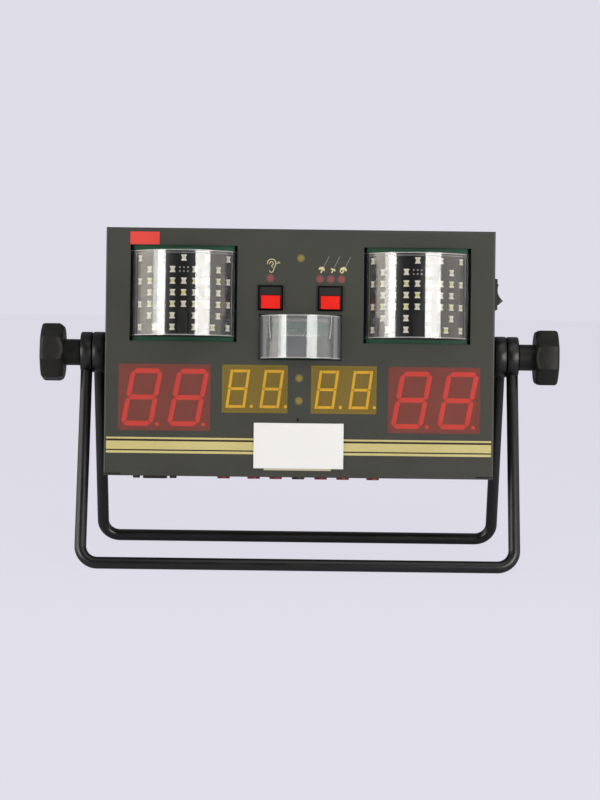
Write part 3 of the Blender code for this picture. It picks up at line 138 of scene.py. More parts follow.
# Layout of the panel
SCORE_AT = on_panel(0.3462, -0.1836)
SCORE_WINDOW = on_panel(0.2373, 0.2679)
SCORE_DIGIT = on_panel(0.0820, 0.2309)
SCORE_PITCH = 0.1188 * CASE_WIDTH
SCORE_STROKE = 0.0032
SCORE_SLANT = math.radians(10.4)
SCORE_DOT = 0.0013
SCORE_DIGIT_SHIFT = 0.0005  # of both digits towards +x
SCORE_RIM = 0.0015
CLOCK_AT = on_panel(0.1142, -0.1455)
CLOCK_WINDOW = on_panel(0.1692, 0.1939)
CLOCK_DIGIT = on_panel(0.0500, 0.1539)
CLOCK_PITCH = 0.0873 * CASE_WIDTH
CLOCK_STROKE = 0.0018
CLOCK_SLANT = math.radians(7.5)
CLOCK_DOT = 0.0011
CLOCK_DOT_SPACE = 0.0022  # more room before the dot
CLOCK_RIM = 0.0012
SEGMENT_BREAK = 0.00025
INDICATOR_RADIUS = 0.0029
SOUND_LED_AT = on_panel(-0.0777, 0.3012)
WEAPON_LEDS_AT = on_panel(0.0773, 0.3000)
WEAPON_LED_PITCH = 0.0275 * CASE_WIDTH
START_LED_AT = on_panel(0.0004, 0.3830)
SETTING_HOLE_AT = on_panel(-0.0031, -0.2685)
SETTING_HOLE_RADIUS = 0.0009
COLON_AT = on_panel(-0.0008, -0.1461)
COLON_PITCH = 0.0909 * CASE_HEIGHT
EAR_AT = on_panel(-0.0742, 0.3516)
EAR_SCALE = 0.91
EAR_STROKE = 0.0005
SOUND_MARK_STROKE = 0.00045
WEAPON_HILTS_AT = on_panel(0.0546, 0.3364)
WEAPON_ICON_PITCH = 0.0277 * CASE_WIDTH
BLADE_STROKE = 0.00026
GRIP_STROKE = 0.0009
BOW_STROKE = 0.0007

# Gold bands across the panel: lower and upper edge as shares of its height
GOLD_BANDS = ((-0.4088, -0.3990), (-0.3935, -0.3603), (-0.3521, -0.3447))

# Lenses
LENS_WALL = 0.0015
LENS_FOOT = 0.0040
LENS_STEPS = 96
LENS_EDGE = 0.0003
EDGE_HIGHLIGHT_HEIGHT = 0.0005  # painted highlight: a pale line along a lens's top and bottom edge
HIGHLIGHT_INSET = 0.0004
HIGHLIGHT_GAP = 0.00001
HIGHLIGHT_RISE = 0.00006
HIGHLIGHT_REACH = 0.96  # share of the lens's half angle
# Height of each further painted highlight line below a lamp lens's top edge
EXTRA_HIGHLIGHT_HEIGHT = 0.0003

# Lamps
LAMP_EXTRA_HIGHLIGHTS = (0.0024,)  # depths below the lens's top edge of further painted highlight lines
LED_SINK = 0.0005
LED_RISE = 0.0008
LED_SIZE = (0.0037, 0.0041)
LED_WAIST = 0.0025
LED_NECK = (0.0008, 0.0013)  # where a side starts and ends to pull in, from the middle
LED_CENTRE = 0.0012
YELLOW_CENTRE = 0.0019
LED_ROWS = (
    (1, 3, 5, 7, 9),
    (2, 4, 6, 8),
    range(1, 10),
    range(2, 9),
    range(1, 10),
    (2, 4, 6, 8),
    (1, 2.5, 4, 6, 7.5, 9),
)
YELLOW_LEDS = ((3, 2), (3, 4), (3, 6), (3, 8), (4, 5), (5, 2), (5, 4), (5, 6), (5, 8), (7, 7.5))
LED_COLUMN_ANGLES = (0.0, 11.2, 23.9, 36.5, 49.9)
LED_ROW_SHARE = 0.1375
LED_TURN = math.radians(1.0)  # all the columns, towards the machine's middle
LAMP_BOARD_INSET = math.radians(0.5)
LAMP_BOARD_MARGIN = 0.00075
LAMP_BOARD = 0.0008
HOLDER_WALL = 0.0020
CARRIER = 0.0016
CARRIER_GAP = 0.0010
LAMP_NOTCH = (0.0087, 0.0170)
PAD_ROW = 2
PAD_SIZE = 0.0010
PAD_PITCH = 0.0026

# Receiver
RECEIVER_EYE_RADIUS = 0.0025
RECEIVER_EYE_PITCH = 0.0130
RECEIVER_PLATE_RISE = 0.0015  # of the plate's lower edge above the lens's
RECEIVER_STRIP = 0.0024
SOLDER_ROWS = ((0.0006, 0.00050), (0.0022, 0.00030), (0.0038, 0.00035))  # height and radius
SOLDER_DOTS = 13
SOLDER_PITCH = 0.0021
SOLDER_SHIFT = 0.3 * SOLDER_PITCH
GLINT_TOP = 0.39  # painted glints: shares of the lens's width from its middle
GLINT_FOOT = 0.37
GLINT_LENGTH = 0.0153
GLINT_WIDTH = 0.0004
GLINT_STEPS = 10

# Keys
KEY_PADDLE_WIDTH = 0.0481 * CASE_WIDTH
KEY_WALL = 0.00095
APRON_SINK = 0.0008
APRON = 0.0008

# Stand
SOLID_ROD = 0.0040  # the radius of the CAD's rod, whose middle the finer one shares
ROD_RADIUS = 0.00397
ROD_TOP = 0.010
ROD_BEND = 0.0115
ROD_SIDES = 32
BEND_STEPS = 16
EYE_EDGE = 0.0008
EYE_SIDES = 72
BORE = 0.0043
EYE_BORE = 1.2 * BORE  # an eye's own points this near to the axis tell where it starts
KNOB_FLUTES = 8
KNOB_SIDES = 24 * KNOB_FLUTES
KNOB_FLUTE = 0.0020
KNOB_TURN = {"left": math.radians(16.0), "right": math.radians(6.7)}
KNOB_BORE = 0.0157
KNOB_NECK = 0.0110
KNOB_NECK_RADIUS = 0.0089
KNOB_NECK_EDGE = 0.0005

# Rings of the head: way from its start or its end, cut off the radius, share of the flutes
KNOB_SHOULDER = ((0.0, 0.0030, 0.0), (0.0008, 0.0014, 0.6), (0.0030, 0.0, 1.0))
KNOB_CROWN = (
    (0.0030, 0.0000, 1.0), (0.0018, 0.0004, 0.9), (0.0009, 0.0015, 0.7),
    (0.0004, 0.0036, 0.3), (0.0003, 0.0060, 0.0),
)


# Finishes

NOISE_MIDDLE = (0.3, 0.7)  # most values of a noise lie between these
MOTTLE_MIDDLE = (0.35, 0.65)
RELIEF_DEPTH = 0.0001
LENS_BLEND = 0.12
LENS_TURN = (0.26, 0.44)  # a clear lens mirrors less from here to there, as it turns away
LENS_END_METAL = 0.5
DUST_SCALE = 260.0
DUST_LOW, DUST_HIGH = 0.8, 1.2  # shares of a lens's haze
FILTER_HAZE = 0.15  # share of a tinted film that scatters light
SPECK_SCALE = 1600.0
SPECK_SHARE = 0.25
SPOT_FADE = (0.05, 0.62)
FILM_GREY = (0.062, 0.063, 0.0545)


def plug(tree, node, inputs):
    """Links a node's inputs where a socket is given, and sets them where it is a value."""
    for key, value in inputs.items():
        if isinstance(value, bpy.types.NodeSocket):
            tree.links.new(value, node.inputs[key])
        else:
            node.inputs[key].default_value = value


def wire(tree, kind, inputs=None, **settings):
    """Adds a shader node with its settings and inputs."""
    made = tree.nodes.new(f"ShaderNode{kind}")
    for name, value in settings.items():
        setattr(made, name, value)
    plug(tree, made, inputs or {})
    return made


def insides(material):
    """A material's nodes and its main shader."""
    return material.node_tree, material.node_tree.nodes["Principled BSDF"]


def noise(tree, scale, detail=3.0, roughness=0.55):
    """Noise over the object's own coordinates, as a value around a half."""
    coords = wire(tree, "TexCoord").outputs["Object"]
    inputs = {"Vector": coords, "Scale": scale, "Detail": detail, "Roughness": roughness}
    return wire(tree, "TexNoise", inputs).outputs["Fac"]


def combine(tree, operation, first, second, use_clamp=False):
    """One value from two, by an operation of the maths node."""
    made = wire(tree, "Math", {0: first, 1: second}, operation=operation, use_clamp=use_clamp)
    return made.outputs[0]


def mix(tree, share, first, second):
    """Blends two shaders: the second one by the share."""
    return wire(tree, "MixShader", {0: share, 1: first.outputs[0], 2: second.outputs[0]})


def show(tree, shader):
    plug(tree, tree.nodes["Material Output"], {"Surface": shader.outputs[0]})


def ramp(tree, value, span, *colours):
    """Fades between two colours over a span of a value."""
    made = wire(tree, "ValToRGB", {"Fac": value})
    for end, position, colour in zip(made.color_ramp.elements, span, colours):
        end.position = position
        end.color = (*colour, 1.0)
    return made.outputs["Color"]


def spread(tree, value, low, high, span=NOISE_MIDDLE):
    """Maps a span of a value to a range."""
    ends = {"From Min": span[0], "From Max": span[1], "To Min": low, "To Max": high}
    return wire(tree, "MapRange", {"Value": value, **ends}).outputs["Result"]


def grey(value):
    return (value, value, value)


def shade(colour, factor):
    return tuple(min(1.0, c * factor) for c in colour)


def finish(
    name, colour, roughness, mottle=0.08, drift=30.0, grain=900.0, relief=0.15,
    gloss_spread=0.06, metallic=0.0, specular=0.5,
):
    """A surface whose tone drifts slowly, with fine grain in its tone, relief and gloss."""
    made = bpy.data.materials.new(name)
    made.use_nodes = True
    tree, shader = insides(made)
    slow = noise(tree, drift)
    fine = noise(tree, grain, detail=2.0, roughness=0.6)
    half = combine(tree, "MULTIPLY", combine(tree, "ADD", slow, fine), 0.5)
    tone = ramp(tree, half, MOTTLE_MIDDLE, shade(colour, 1 - mottle), shade(colour, 1 + mottle))
    gloss = spread(tree, slow, roughness - gloss_spread, roughness + gloss_spread)
    plug(tree, shader, {"Base Color": tone, "Roughness": gloss})
    plug(tree, shader, {"Metallic": metallic, "Specular IOR Level": specular})
    if relief:
        bump = wire(tree, "Bump", {"Height": fine, "Strength": relief, "Distance": RELIEF_DEPTH})
        plug(tree, shader, {"Normal": bump.outputs["Normal"]})
    return made


def clear_finish(name, colour, haze, roughness, metallic):
    """A clear moulding: it is see-through face on and closes up where it turns away."""
    made = finish(name, colour, roughness, mottle=0.03, relief=0.0, gloss_spread=0.015)
    tree, shader = insides(made)
    edge = wire(tree, "LayerWeight", {"Blend": LENS_BLEND}).outputs["Fresnel"]
    facing = wire(tree, "LayerWeight", {"Blend": 0.5}).outputs["Facing"]
    metal = spread(tree, facing, metallic, min(metallic, LENS_END_METAL), LENS_TURN)
    dust = spread(tree, noise(tree, DUST_SCALE, detail=4.0), DUST_LOW * haze, DUST_HIGH * haze)
    alpha = combine(tree, "ADD", edge, dust, use_clamp=True)
    plug(tree, shader, {"Metallic": metal, "Alpha": alpha})
    return made


def filter_finish(name, haze, through):
    """A tinted film: its front scatters a little of its own colour and the rest goes through."""
    made = finish(name, haze, 0.5, drift=160.0, relief=0.04, specular=0.3)
    tree, shader = insides(made)
    tint = wire(tree, "BsdfTransparent", {"Color": (*through, 1.0)})
    clear = wire(tree, "BsdfTransparent", {"Color": (1.0, 1.0, 1.0, 1.0)})
    back = wire(tree, "NewGeometry").outputs["Backfacing"]
    show(tree, mix(tree, back, mix(tree, FILTER_HAZE, tint, shader), clear))
    return made


def blurred_finish(name, lit):
    """A lamp seen through a matt film: its colour fades into the panel's at the edge."""
    made = finish(name, lit, 0.5, relief=0.05)
    tree, shader = insides(made)
    disc = wire(tree, "UVMap", uv_map="disc").outputs["UV"]
    middle = wire(tree, "TexGradient", {"Vector": disc}, gradient_type="SPHERICAL").outputs["Fac"]
    uneven = combine(tree, "MULTIPLY", noise(tree, SPECK_SCALE), SPECK_SHARE)
    tone = ramp(tree, combine(tree, "ADD", middle, uneven), SPOT_FADE, FILM_GREY, lit)
    plug(tree, shader, {"Base Color": tone})
    return made


LOOKS = {
    "case_paint": finish(
        "case_powder_paint", (0.055, 0.055, 0.050), 0.5, mottle=0.1, grain=1500.0, relief=0.35,
    ),
    "front_print": finish(
        "panel_film", FILM_GREY, 0.5, mottle=0.07, grain=1100.0, relief=0.08, specular=0.2,
    ),
    "gold_print": finish("gold_ink", (0.65, 0.57, 0.235), 0.45, mottle=0.06, relief=0.05),
    "brown_line": finish("brown_print", (0.030, 0.012, 0.009), 0.5, mottle=0.1, relief=0.05),
    "icon_print": finish("pale_icon_ink", (0.68, 0.62, 0.33), 0.45, mottle=0.06, relief=0.05),
    "blade_print": finish("grey_icon_ink", (0.36, 0.36, 0.31), 0.45, mottle=0.1, relief=0.05),
    "blank_label": finish("white_label", (0.96, 0.96, 0.94), 0.35, mottle=0.015, relief=0.03),
    "old_label": finish("cream_label", (0.62, 0.58, 0.40), 0.45, mottle=0.04, relief=0.05),
    "date_label": finish("red_label", (0.83, 0.072, 0.055), 0.4, mottle=0.04, relief=0.05),
    "window_red": filter_finish("red_window_film", (0.67, 0.44, 0.36), (0.857, 0.078, 0.06)),
    "window_amber": filter_finish("amber_window_film", (0.60, 0.60, 0.26), (0.955, 0.675, 0.040)),
    "score_face": finish("score_display_face", grey(0.18), 0.6),
    "clock_face": finish("clock_display_face", grey(0.16), 0.6),
    "lit_bar": finish("display_bar", (0.88, 0.86, 0.86), 0.5, mottle=0.05, grain=1800.0),
    "display_rim": finish("display_rim", (0.18, 0.21, 0.25), 0.6),
    "indicator_red": blurred_finish("red_indicator", (0.27, 0.065, 0.06)),
    "indicator_amber": blurred_finish("amber_indicator", (0.26, 0.205, 0.03)),
    "clear_lens": clear_finish("clear_lens", grey(0.85), 0.09, 0.06, 1.0),
    # Painted highlight: the pale lines along the lenses' edges
    "painted_lens_highlight": clear_finish("painted_lens_edge_highlight", (0.90, 0.90, 0.88), 0.42, 0.20, 0.2),
    # Painted glint: white strips on the receiver's lens
    "painted_lens_glint": finish("painted_lens_glint", (0.92, 0.92, 0.90), 0.2, mottle=0.04, relief=0.03),
    "smoky_lens": clear_finish("smoky_receiver_lens", (0.68, 0.70, 0.70), 0.23, 0.08, 0.38),
    "lamp_board": finish("lamp_board_black", (0.012, 0.012, 0.014), 0.35, relief=0.1),
    "led_white": finish("led_package", (0.94, 0.89, 0.77), 0.45, mottle=0.12, drift=400.0),
    "led_centre": finish("led_phosphor", (0.82, 0.76, 0.50), 0.35, mottle=0.15, drift=500.0),
    "led_yellow": finish("led_yellow_phosphor", (0.80, 0.80, 0.14), 0.35, mottle=0.12),
    "solder": finish("solder_pads", (0.75, 0.75, 0.73), 0.3, metallic=0.6, mottle=0.15),
    "board_green": finish("main_board_green", (0.006, 0.032, 0.020), 0.45, mottle=0.15),
    "receiver_green": finish("receiver_green", (0.026, 0.105, 0.078), 0.4, mottle=0.15),
    # Painted reflection: the purple-grey that the receiver's lens shows below its board
    "receiver_reflection_plate": finish("receiver_reflection_plate", (0.030, 0.032, 0.058), 0.5, mottle=0.12),
    "receiver_strip": finish("receiver_strip", (0.16, 0.16, 0.175), 0.5, mottle=0.1),
    "carrier_green": finish("lamp_carrier_green", (0.021, 0.105, 0.058), 0.5, mottle=0.25),
    "lamp_holder": finish("lamp_holder_black", grey(0.010), 0.55, relief=0.1),
    "key_black": finish("key_black", grey(0.004), 0.6, relief=0.08, specular=0.05),
    "key_grey": finish("key_apron", grey(0.022), 0.45, relief=0.08, specular=0.3),
    "key_red": finish("key_red", (0.90, 0.016, 0.008), 0.4, mottle=0.03, relief=0.04, specular=0.3),
    "power_black": finish("rocker_black", grey(0.016), 0.35, relief=0.08),
    "socket_red": finish("socket_red", (0.36, 0.022, 0.022), 0.35, relief=0.05),
    "socket_black": finish("socket_black", grey(0.016), 0.38, relief=0.05),
    "connector_metal": finish("connector_shell", (0.10, 0.085, 0.07), 0.4, metallic=0.8),
    "screw_black": finish("screw_black", (0.022, 0.022, 0.024), 0.35, metallic=0.4),
    "inlet_black": finish("inlet_black", grey(0.018), 0.4),
    "plated_steel": finish("plated_steel", grey(0.60), 0.3, metallic=1.0, mottle=0.06, drift=200.0),
    "buzzer_black": finish("buzzer_black", grey(0.020), 0.5),
    "washer_nylon": finish("washer_nylon", grey(0.03), 0.55),
    "bail_paint": finish(
        "bail_paint", (0.003, 0.003, 0.0027), 0.35, mottle=0.12, grain=700.0, relief=0.10,
        specular=0.7,
    ),
    "knob_black": finish(
        "knob_black", (0.016, 0.016, 0.014), 0.45, mottle=0.1, grain=1000.0, relief=0.12,
        specular=0.3,
    ),
}


# Tools for pieces

WELD = 0.000005
SOFTENED_ANGLE = math.radians(35)


def add_object(name, data):
    made = bpy.data.objects.new(name, data)
    bpy.context.scene.collection.objects.link(made)
    return made


def piece(bm, name, slot, stands_for=(), look=None, body="case", place=CASE, smooth_under=None):
    """Links a finished mesh as a piece of the object that rides on a body."""
    bmesh.ops.recalc_face_normals(bm, faces=bm.faces)
    mesh = bpy.data.meshes.new(name)
    bm.to_mesh(mesh)
    bm.free()
    mesh.transform(place)
    mesh.materials.append(LOOKS[look or slot])
    made = add_object(name, mesh)
    if smooth_under is not None:
        mesh.shade_smooth()
        mesh.set_sharp_from_angle(angle=math.radians(smooth_under))
    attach(made, body)
    if stands_for:
        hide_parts(*stands_for)
    return made


def soften(made, width):
    """Rounds an object's edges by a modifier, after welding the split edges that an import leaves.
    """
    weld = made.modifiers.new("weld", "WELD")
    weld.merge_threshold = WELD
    bevel = made.modifiers.new("soften", "BEVEL")
    bevel.width = width
    bevel.segments = 2
    bevel.limit_method = "ANGLE"
    bevel.angle_limit = SOFTENED_ANGLE
    bevel.harden_normals = True


def flat(centre):
    """Places outline points on the panel, with depth along y."""
    return lambda u, v, w: (centre[0] + u, w, centre[1] + v)


def around(hub, up, angle):
    """Places outline points on a curved face, tangent at an angle, with w as the radius."""
    sine, cosine = math.sin(angle), math.cos(angle)
    return lambda u, v, w: (hub[0] + w * sine + u * cosine, hub[1] - w * cosine + u * sine, up + v)


def extrude(bm, outline, place, start, end):
    near = [bm.verts.new(place(u, v, start)) for u, v in outline]
    far = [bm.verts.new(place(u, v, end)) for u, v in outline]
    bm.faces.new(near)
    bm.faces.new(list(reversed(far)))
    for i in range(len(outline)):
        j = (i + 1) % len(outline)
        bm.faces.new((near[j], near[i], far[i], far[j]))


def rectangle(width, height):
    w, h = width / 2, height / 2
    return [(-w, -h), (w, -h), (w, h), (-w, h)]


def round_points(radii):
    """Points around a middle, one for each radius."""
    angles = [2 * math.pi * i / len(radii) for i in range(len(radii))]
    return [(r * math.cos(angle), r * math.sin(angle)) for r, angle in zip(radii, angles)]


def circle(radius, sides=32):
    return round_points([radius] * sides)


def slab(bm, centre, size, start, end):
    extrude(bm, rectangle(*size), flat(centre), start, end)


def front_view(low, high):
    """Middle and size of a box as seen from the front."""
    middle = ((low.x + high.x) / 2, (low.z + high.z) / 2)
    return middle, (high.x - low.x, high.z - low.z)


def arc(centre, radius, start, end, steps):
    """Points on a circle seen from above. Angles count from straight forward towards +x."""
    points = []
    for i in range(steps + 1):
        angle = start + (end - start) * i / steps
        x = centre[0] + radius * math.sin(angle)
        points.append((x, centre[1] - radius * math.cos(angle)))
    return points


def upright(u, v, w):
    """Places outline points seen from above, with height along z."""
    return (u, v, w)


def smooth_line(points, steps=6):
    """A curve through all the points, by Catmull and Rom's formula."""
    ends = [points[0], *points, points[-1]]
    line = []
    for i in range(len(points) - 1):
        a, b, c, d = (Vector(p) for p in ends[i:i + 4])
        for step in range(steps):
            t = step / steps
            line.append(
                0.5 * (2 * b + (c - a) * t + (2 * a - 5 * b + 4 * c - d) * t ** 2
                       + (3 * b - a - 3 * c + d) * t ** 3)
            )
    line.append(Vector(points[-1]))
    return line


def heading(points, i):
    """The way that a line of points runs at one of them."""
    before, after = points[max(i - 1, 0)], points[min(i + 1, len(points) - 1)]
    return (Vector(after) - Vector(before)).normalized()


def ribbon(bm, points, width, place, start, end):
    """A flat stroke of one width along a line of points."""
    left, right = [], []
    for i, point in enumerate(points):
        along = heading(points, i)
        out = Vector((-along.y, along.x)) * width / 2
        left.append(Vector(point) + out)
        right.append(Vector(point) - out)
    extrude(bm, left + right[::-1], place, start, end)


def turned(bm, rings, closed=False):
    """Skins rings of points. A ring of one point closes the end; closed joins last and first."""
    made = [[bm.verts.new(p) for p in points] for points in rings]
    if closed:
        made.append(made[0])
    for first, second in zip(made, made[1:]):
        count = max(len(first), len(second))
        for i in range(count):
            j = (i + 1) % count
            if len(first) == 1:
                bm.faces.new((first[0], second[j], second[i]))
            elif len(second) == 1:
                bm.faces.new((first[i], first[j], second[0]))
            else:
                bm.faces.new((first[i], first[j], second[j], second[i]))


def x_ring(x, radii):
    """Points about the x axis, one for each radius."""
    return [(x, y, z) for y, z in round_points(radii)]


# Lenses and lamps


def lens_arc(node):
    """Centre, radius, half angle, width and height range of a lens, from its CAD node."""
    low, high = case_box(node, before=FRONT + GAP / 10)
    width = high.x - low.x
    bulge = FRONT - low.y
    radius = (width * width / 4 + bulge * bulge) / (2 * bulge)
    half_angle = 2 * math.atan(2 * bulge / width)
    hub = ((low.x + high.x) / 2, FRONT + radius * math.cos(half_angle))
    return hub, radius, half_angle, width, low.z, high.z


def lens_outline(hub, radius, half_angle, width):
    x = hub[0]
    inner = radius - LENS_WALL
    inner_half = width / 2 - LENS_WALL
    inner_angle = math.asin(inner_half / inner)
    foot = width / 2 + LENS_FOOT
    front = BEHIND_SHEET
    back = front + LENS_WALL
    return [
        (x - foot, back), (x - foot, front), (x - width / 2, front),
        *arc(hub, radius, -half_angle, half_angle, LENS_STEPS),
        (x + width / 2, front), (x + foot, front), (x + foot, back), (x + inner_half, back),
        *arc(hub, inner, inner_angle, -inner_angle, LENS_STEPS),
        (x - inner_half, back),
    ]


def make_lens(node, look, name, highlight_depths=()):
    """A curved lens with painted highlights: pale lines along its top and bottom edges, and more at
    depths below its top edge.
    """
    hub, radius, half_angle, width, low, high = lens_arc(node)
    bm = bmesh.new()
    extrude(bm, lens_outline(hub, radius, half_angle, width), upright, low, high)
    soften(piece(bm, name, "clear_lens", [node], look, smooth_under=30), LENS_EDGE)
    # Pale strips on the lens's face: painted highlights for light caught by its edges
    painted_highlights = bmesh.new()
    end = HIGHLIGHT_REACH * half_angle
    band = arc(hub, radius + HIGHLIGHT_RISE, -end, end, LENS_STEPS)
    band += arc(hub, radius + HIGHLIGHT_GAP, end, -end, LENS_STEPS)
    for bottom in (low + HIGHLIGHT_INSET, high - HIGHLIGHT_INSET - EDGE_HIGHLIGHT_HEIGHT):
        extrude(painted_highlights, band, upright, bottom, bottom + EDGE_HIGHLIGHT_HEIGHT)
    for depth in highlight_depths:
        extrude(painted_highlights, band, upright, high - depth, high - depth + EXTRA_HIGHLIGHT_HEIGHT)
    piece(painted_highlights, f"{name}_lips", "clear_lens", look="painted_lens_highlight", smooth_under=30)


def led_outline():
    """A package whose left and right sides are pulled in, as its solder corners stand out."""
    w, h = LED_SIZE[0] / 2, LED_SIZE[1] / 2
    waist = LED_WAIST / 2
    start, end = LED_NECK
    return [
        (-w, -h), (w, -h), (w, -end), (waist, -start), (waist, start), (w, end),
        (w, h), (-w, h), (-w, end), (-waist, start), (-waist, -start), (-w, -end),
    ]


def column_angle(column):
    """The angle of a column. A place between two columns lies halfway between them."""
    middle = len(LED_COLUMN_ANGLES)
    step = abs(column - middle)
    low = LED_COLUMN_ANGLES[math.floor(step)]
    high = LED_COLUMN_ANGLES[math.ceil(step)]
    return math.copysign(math.radians((low + high) / 2), column - middle)


def make_lamp_holder(label, hub, outer, end, bottom, top):
    """The curved black support behind a lamp board and the green carrier that it stands on."""
    node = f"lamp_holder_{label}"
    low, high = case_box(node)
    inner = outer - HOLDER_WALL
    x = hub[0]
    out = outer * math.sin(end)
    inner_end = math.asin((out - HOLDER_WALL) / inner)
    form = [
        (x - out, high.y), *arc(hub, outer, -end, end, LENS_STEPS // 2),
        (x + out, high.y), (x + out - HOLDER_WALL, high.y),
        *arc(hub, inner, inner_end, -inner_end, LENS_STEPS // 2),
        (x - out + HOLDER_WALL, high.y),
    ]
    bm = bmesh.new()
    extrude(bm, form, upright, bottom, top)
    piece(bm, f"{label}_lamp_support", "lamp_holder", [node], smooth_under=30)
    carrier = bmesh.new()
    face = BEHIND_SHEET + LENS_WALL + GAP
    middle, size = front_view(low, high)
    slab(carrier, middle, size, face, face + CARRIER)
    piece(carrier, f"{label}_lamp_carrier", "lamp_holder")
    edges = bmesh.new()
    for start, stop in ((low.z, bottom - CARRIER_GAP), (top + CARRIER_GAP, high.z)):
        at = (middle[0], (start + stop) / 2)
        slab(edges, at, (size[0], stop - start), face - SKIN, face)
    piece(edges, f"{label}_lamp_carrier_mask", "board_green", look="carrier_green")


def make_lamp(label):
    make_lens(f"lamp_lens_{label}", "clear_lens", f"{label}_lamp_lens", LAMP_EXTRA_HIGHLIGHTS)
    hub, radius, half_angle, _, low, high = lens_arc(f"lamp_lens_{label}")
    middle = (low + high) / 2
    led_face = radius - LENS_WALL - LED_SINK
    face = led_face - LED_RISE
    back = face - LAMP_BOARD
    end = half_angle - LAMP_BOARD_INSET
    height = high - low - 2 * LAMP_BOARD_MARGIN
    bottom, top = middle - height / 2, middle + height / 2
    turn = -math.copysign(LED_TURN, hub[0])

    board = bmesh.new()
    notch = math.asin(LAMP_NOTCH[0] / 2 / face)
    spans = ((-end, -notch, bottom), (-notch, notch, bottom + LAMP_NOTCH[1]), (notch, end, bottom))
    for start, stop, foot in spans:
        strip = arc(hub, face, start, stop, LENS_STEPS // 3)
        strip += arc(hub, back, stop, start, LENS_STEPS // 3)
        extrude(board, strip, upright, foot, top)
    piece(board, f"{label}_lamp_board", "lamp_board", [f"lamp_board_{label}"], smooth_under=30)

    make_lamp_holder(label, hub, back - GAP, end, bottom, top)

    packages, centres, yellows, pads = (bmesh.new() for _ in range(4))
    for row, columns in enumerate(LED_ROWS, start=1):
        up = middle + LED_ROW_SHARE * height * ((len(LED_ROWS) + 1) / 2 - row)
        for column in columns:
            place = around(hub, up, column_angle(column) + turn)
            extrude(packages, led_outline(), place, face, led_face)
            target, size = centres, LED_CENTRE
            if (row, column) in YELLOW_LEDS:
                target, size = yellows, YELLOW_CENTRE
            extrude(target, rectangle(size, size), place, led_face, led_face + SKIN)
        if row == PAD_ROW:
            for across in (-1, 0, 1):
                for rise in (-1, 1):
                    angle = turn + across * PAD_PITCH / face
                    place = around(hub, up + rise * PAD_PITCH / 2, angle)
                    extrude(pads, rectangle(PAD_SIZE, PAD_SIZE), place, face, face + SKIN)
    piece(packages, f"{label}_lamp_leds", "led_white")
    piece(centres, f"{label}_lamp_led_centres", "led_white", look="led_centre")
    piece(yellows, f"{label}_lamp_led_phosphor", "led_white", look="led_yellow")
    piece(pads, f"{label}_lamp_pads", "plated_steel", look="solder")


def make_receiver():
    make_lens("receiver_lens", "smoky_lens", "receiver_window")
    low, high = case_box("receiver_board", before=FRONT - GAP)
    middle, board_size = front_view(low, high)
    board_face = low.y + SHEET
    bm = bmesh.new()
    slab(bm, middle, board_size, board_face, board_face + SHEET)
    piece(bm, "receiver_circuit", "board_green", ["receiver_board"], "receiver_green")
    eyes = bmesh.new()
    for step in (-1, 0, 1):
        place = flat((middle[0] + step * RECEIVER_EYE_PITCH, middle[1]))
        extrude(eyes, circle(RECEIVER_EYE_RADIUS, 24), place, low.y, board_face)
    piece(eyes, "receiver_eyes", "board_green", look="receiver_green")
    dots = bmesh.new()
    for row, (up, radius) in enumerate(SOLDER_ROWS):
        for i in range(SOLDER_DOTS):
            across = (i - SOLDER_DOTS // 2) * SOLDER_PITCH + row * SOLDER_SHIFT
            place = flat((middle[0] + across, low.z + up))
            extrude(dots, circle(radius, 12), place, board_face - SKIN, board_face)
    piece(dots, "receiver_solder", "plated_steel", look="led_white")
    # Below the board, a plate whose purple-grey is a painted reflection in the receiver's lens;
    # above it, a pale strip
    plate_foot = case_box("receiver_lens")[0].z + RECEIVER_PLATE_RISE
    spans = {
        "receiver_reflection_plate": (plate_foot, low.z - GAP),
        "receiver_strip": (high.z + GAP, high.z + GAP + RECEIVER_STRIP),
    }
    for name, (bottom, top) in spans.items():
        bm = bmesh.new()
        at, size = (middle[0], (top + bottom) / 2), (board_size[0], top - bottom)
        slab(bm, at, size, board_face, board_face + SHEET)
        piece(bm, name, "board_green", look=name)


def make_receiver_glints():
    """Two slim white strips on the receiver's lens, from its top edge down and a little inward:
    painted glints.
    """
    hub, radius, _, width, _, high = lens_arc("receiver_lens")
    bm = bmesh.new()
    for side in (-1, 1):
        for i in range(GLINT_STEPS):
            share = (i + 0.5) / GLINT_STEPS
            across = (GLINT_TOP + (GLINT_FOOT - GLINT_TOP) * share * share) * width
            angle = side * math.asin(across / radius)
            place = around(hub, high - HIGHLIGHT_INSET - GLINT_LENGTH * share, angle)
            outline = rectangle(GLINT_WIDTH, GLINT_LENGTH / GLINT_STEPS)
            extrude(bm, outline, place, radius + HIGHLIGHT_GAP, radius + HIGHLIGHT_RISE)
    piece(bm, "receiver_painted_glints", "clear_lens", look="painted_lens_glint")


# Displays


def pointed_bar(start, end, half):
    """A bar along u with a point at each end, short of its span by the break."""
    start, end = start + SEGMENT_BREAK, end - SEGMENT_BREAK
    return [
        (start, 0.0), (start + half, half), (end - half, half),
        (end, 0.0), (end - half, -half), (start + half, -half),
    ]


def mitred_bars(size, stroke):
    """Seven bars with pointed ends, as outlines about the digit's middle."""
    half_w, half_h = (size[0] - stroke) / 2, (size[1] - stroke) / 2
    outlines = []
    for z in (half_h, 0.0, -half_h):
        outlines.append([(u, v + z) for u, v in pointed_bar(-half_w, half_w, stroke / 2)])
    for x in (-half_w, half_w):
        for low, high in ((-half_h, 0.0), (0.0, half_h)):
            outlines.append([(x + v, u) for u, v in pointed_bar(low, high, stroke / 2)])
    return outlines


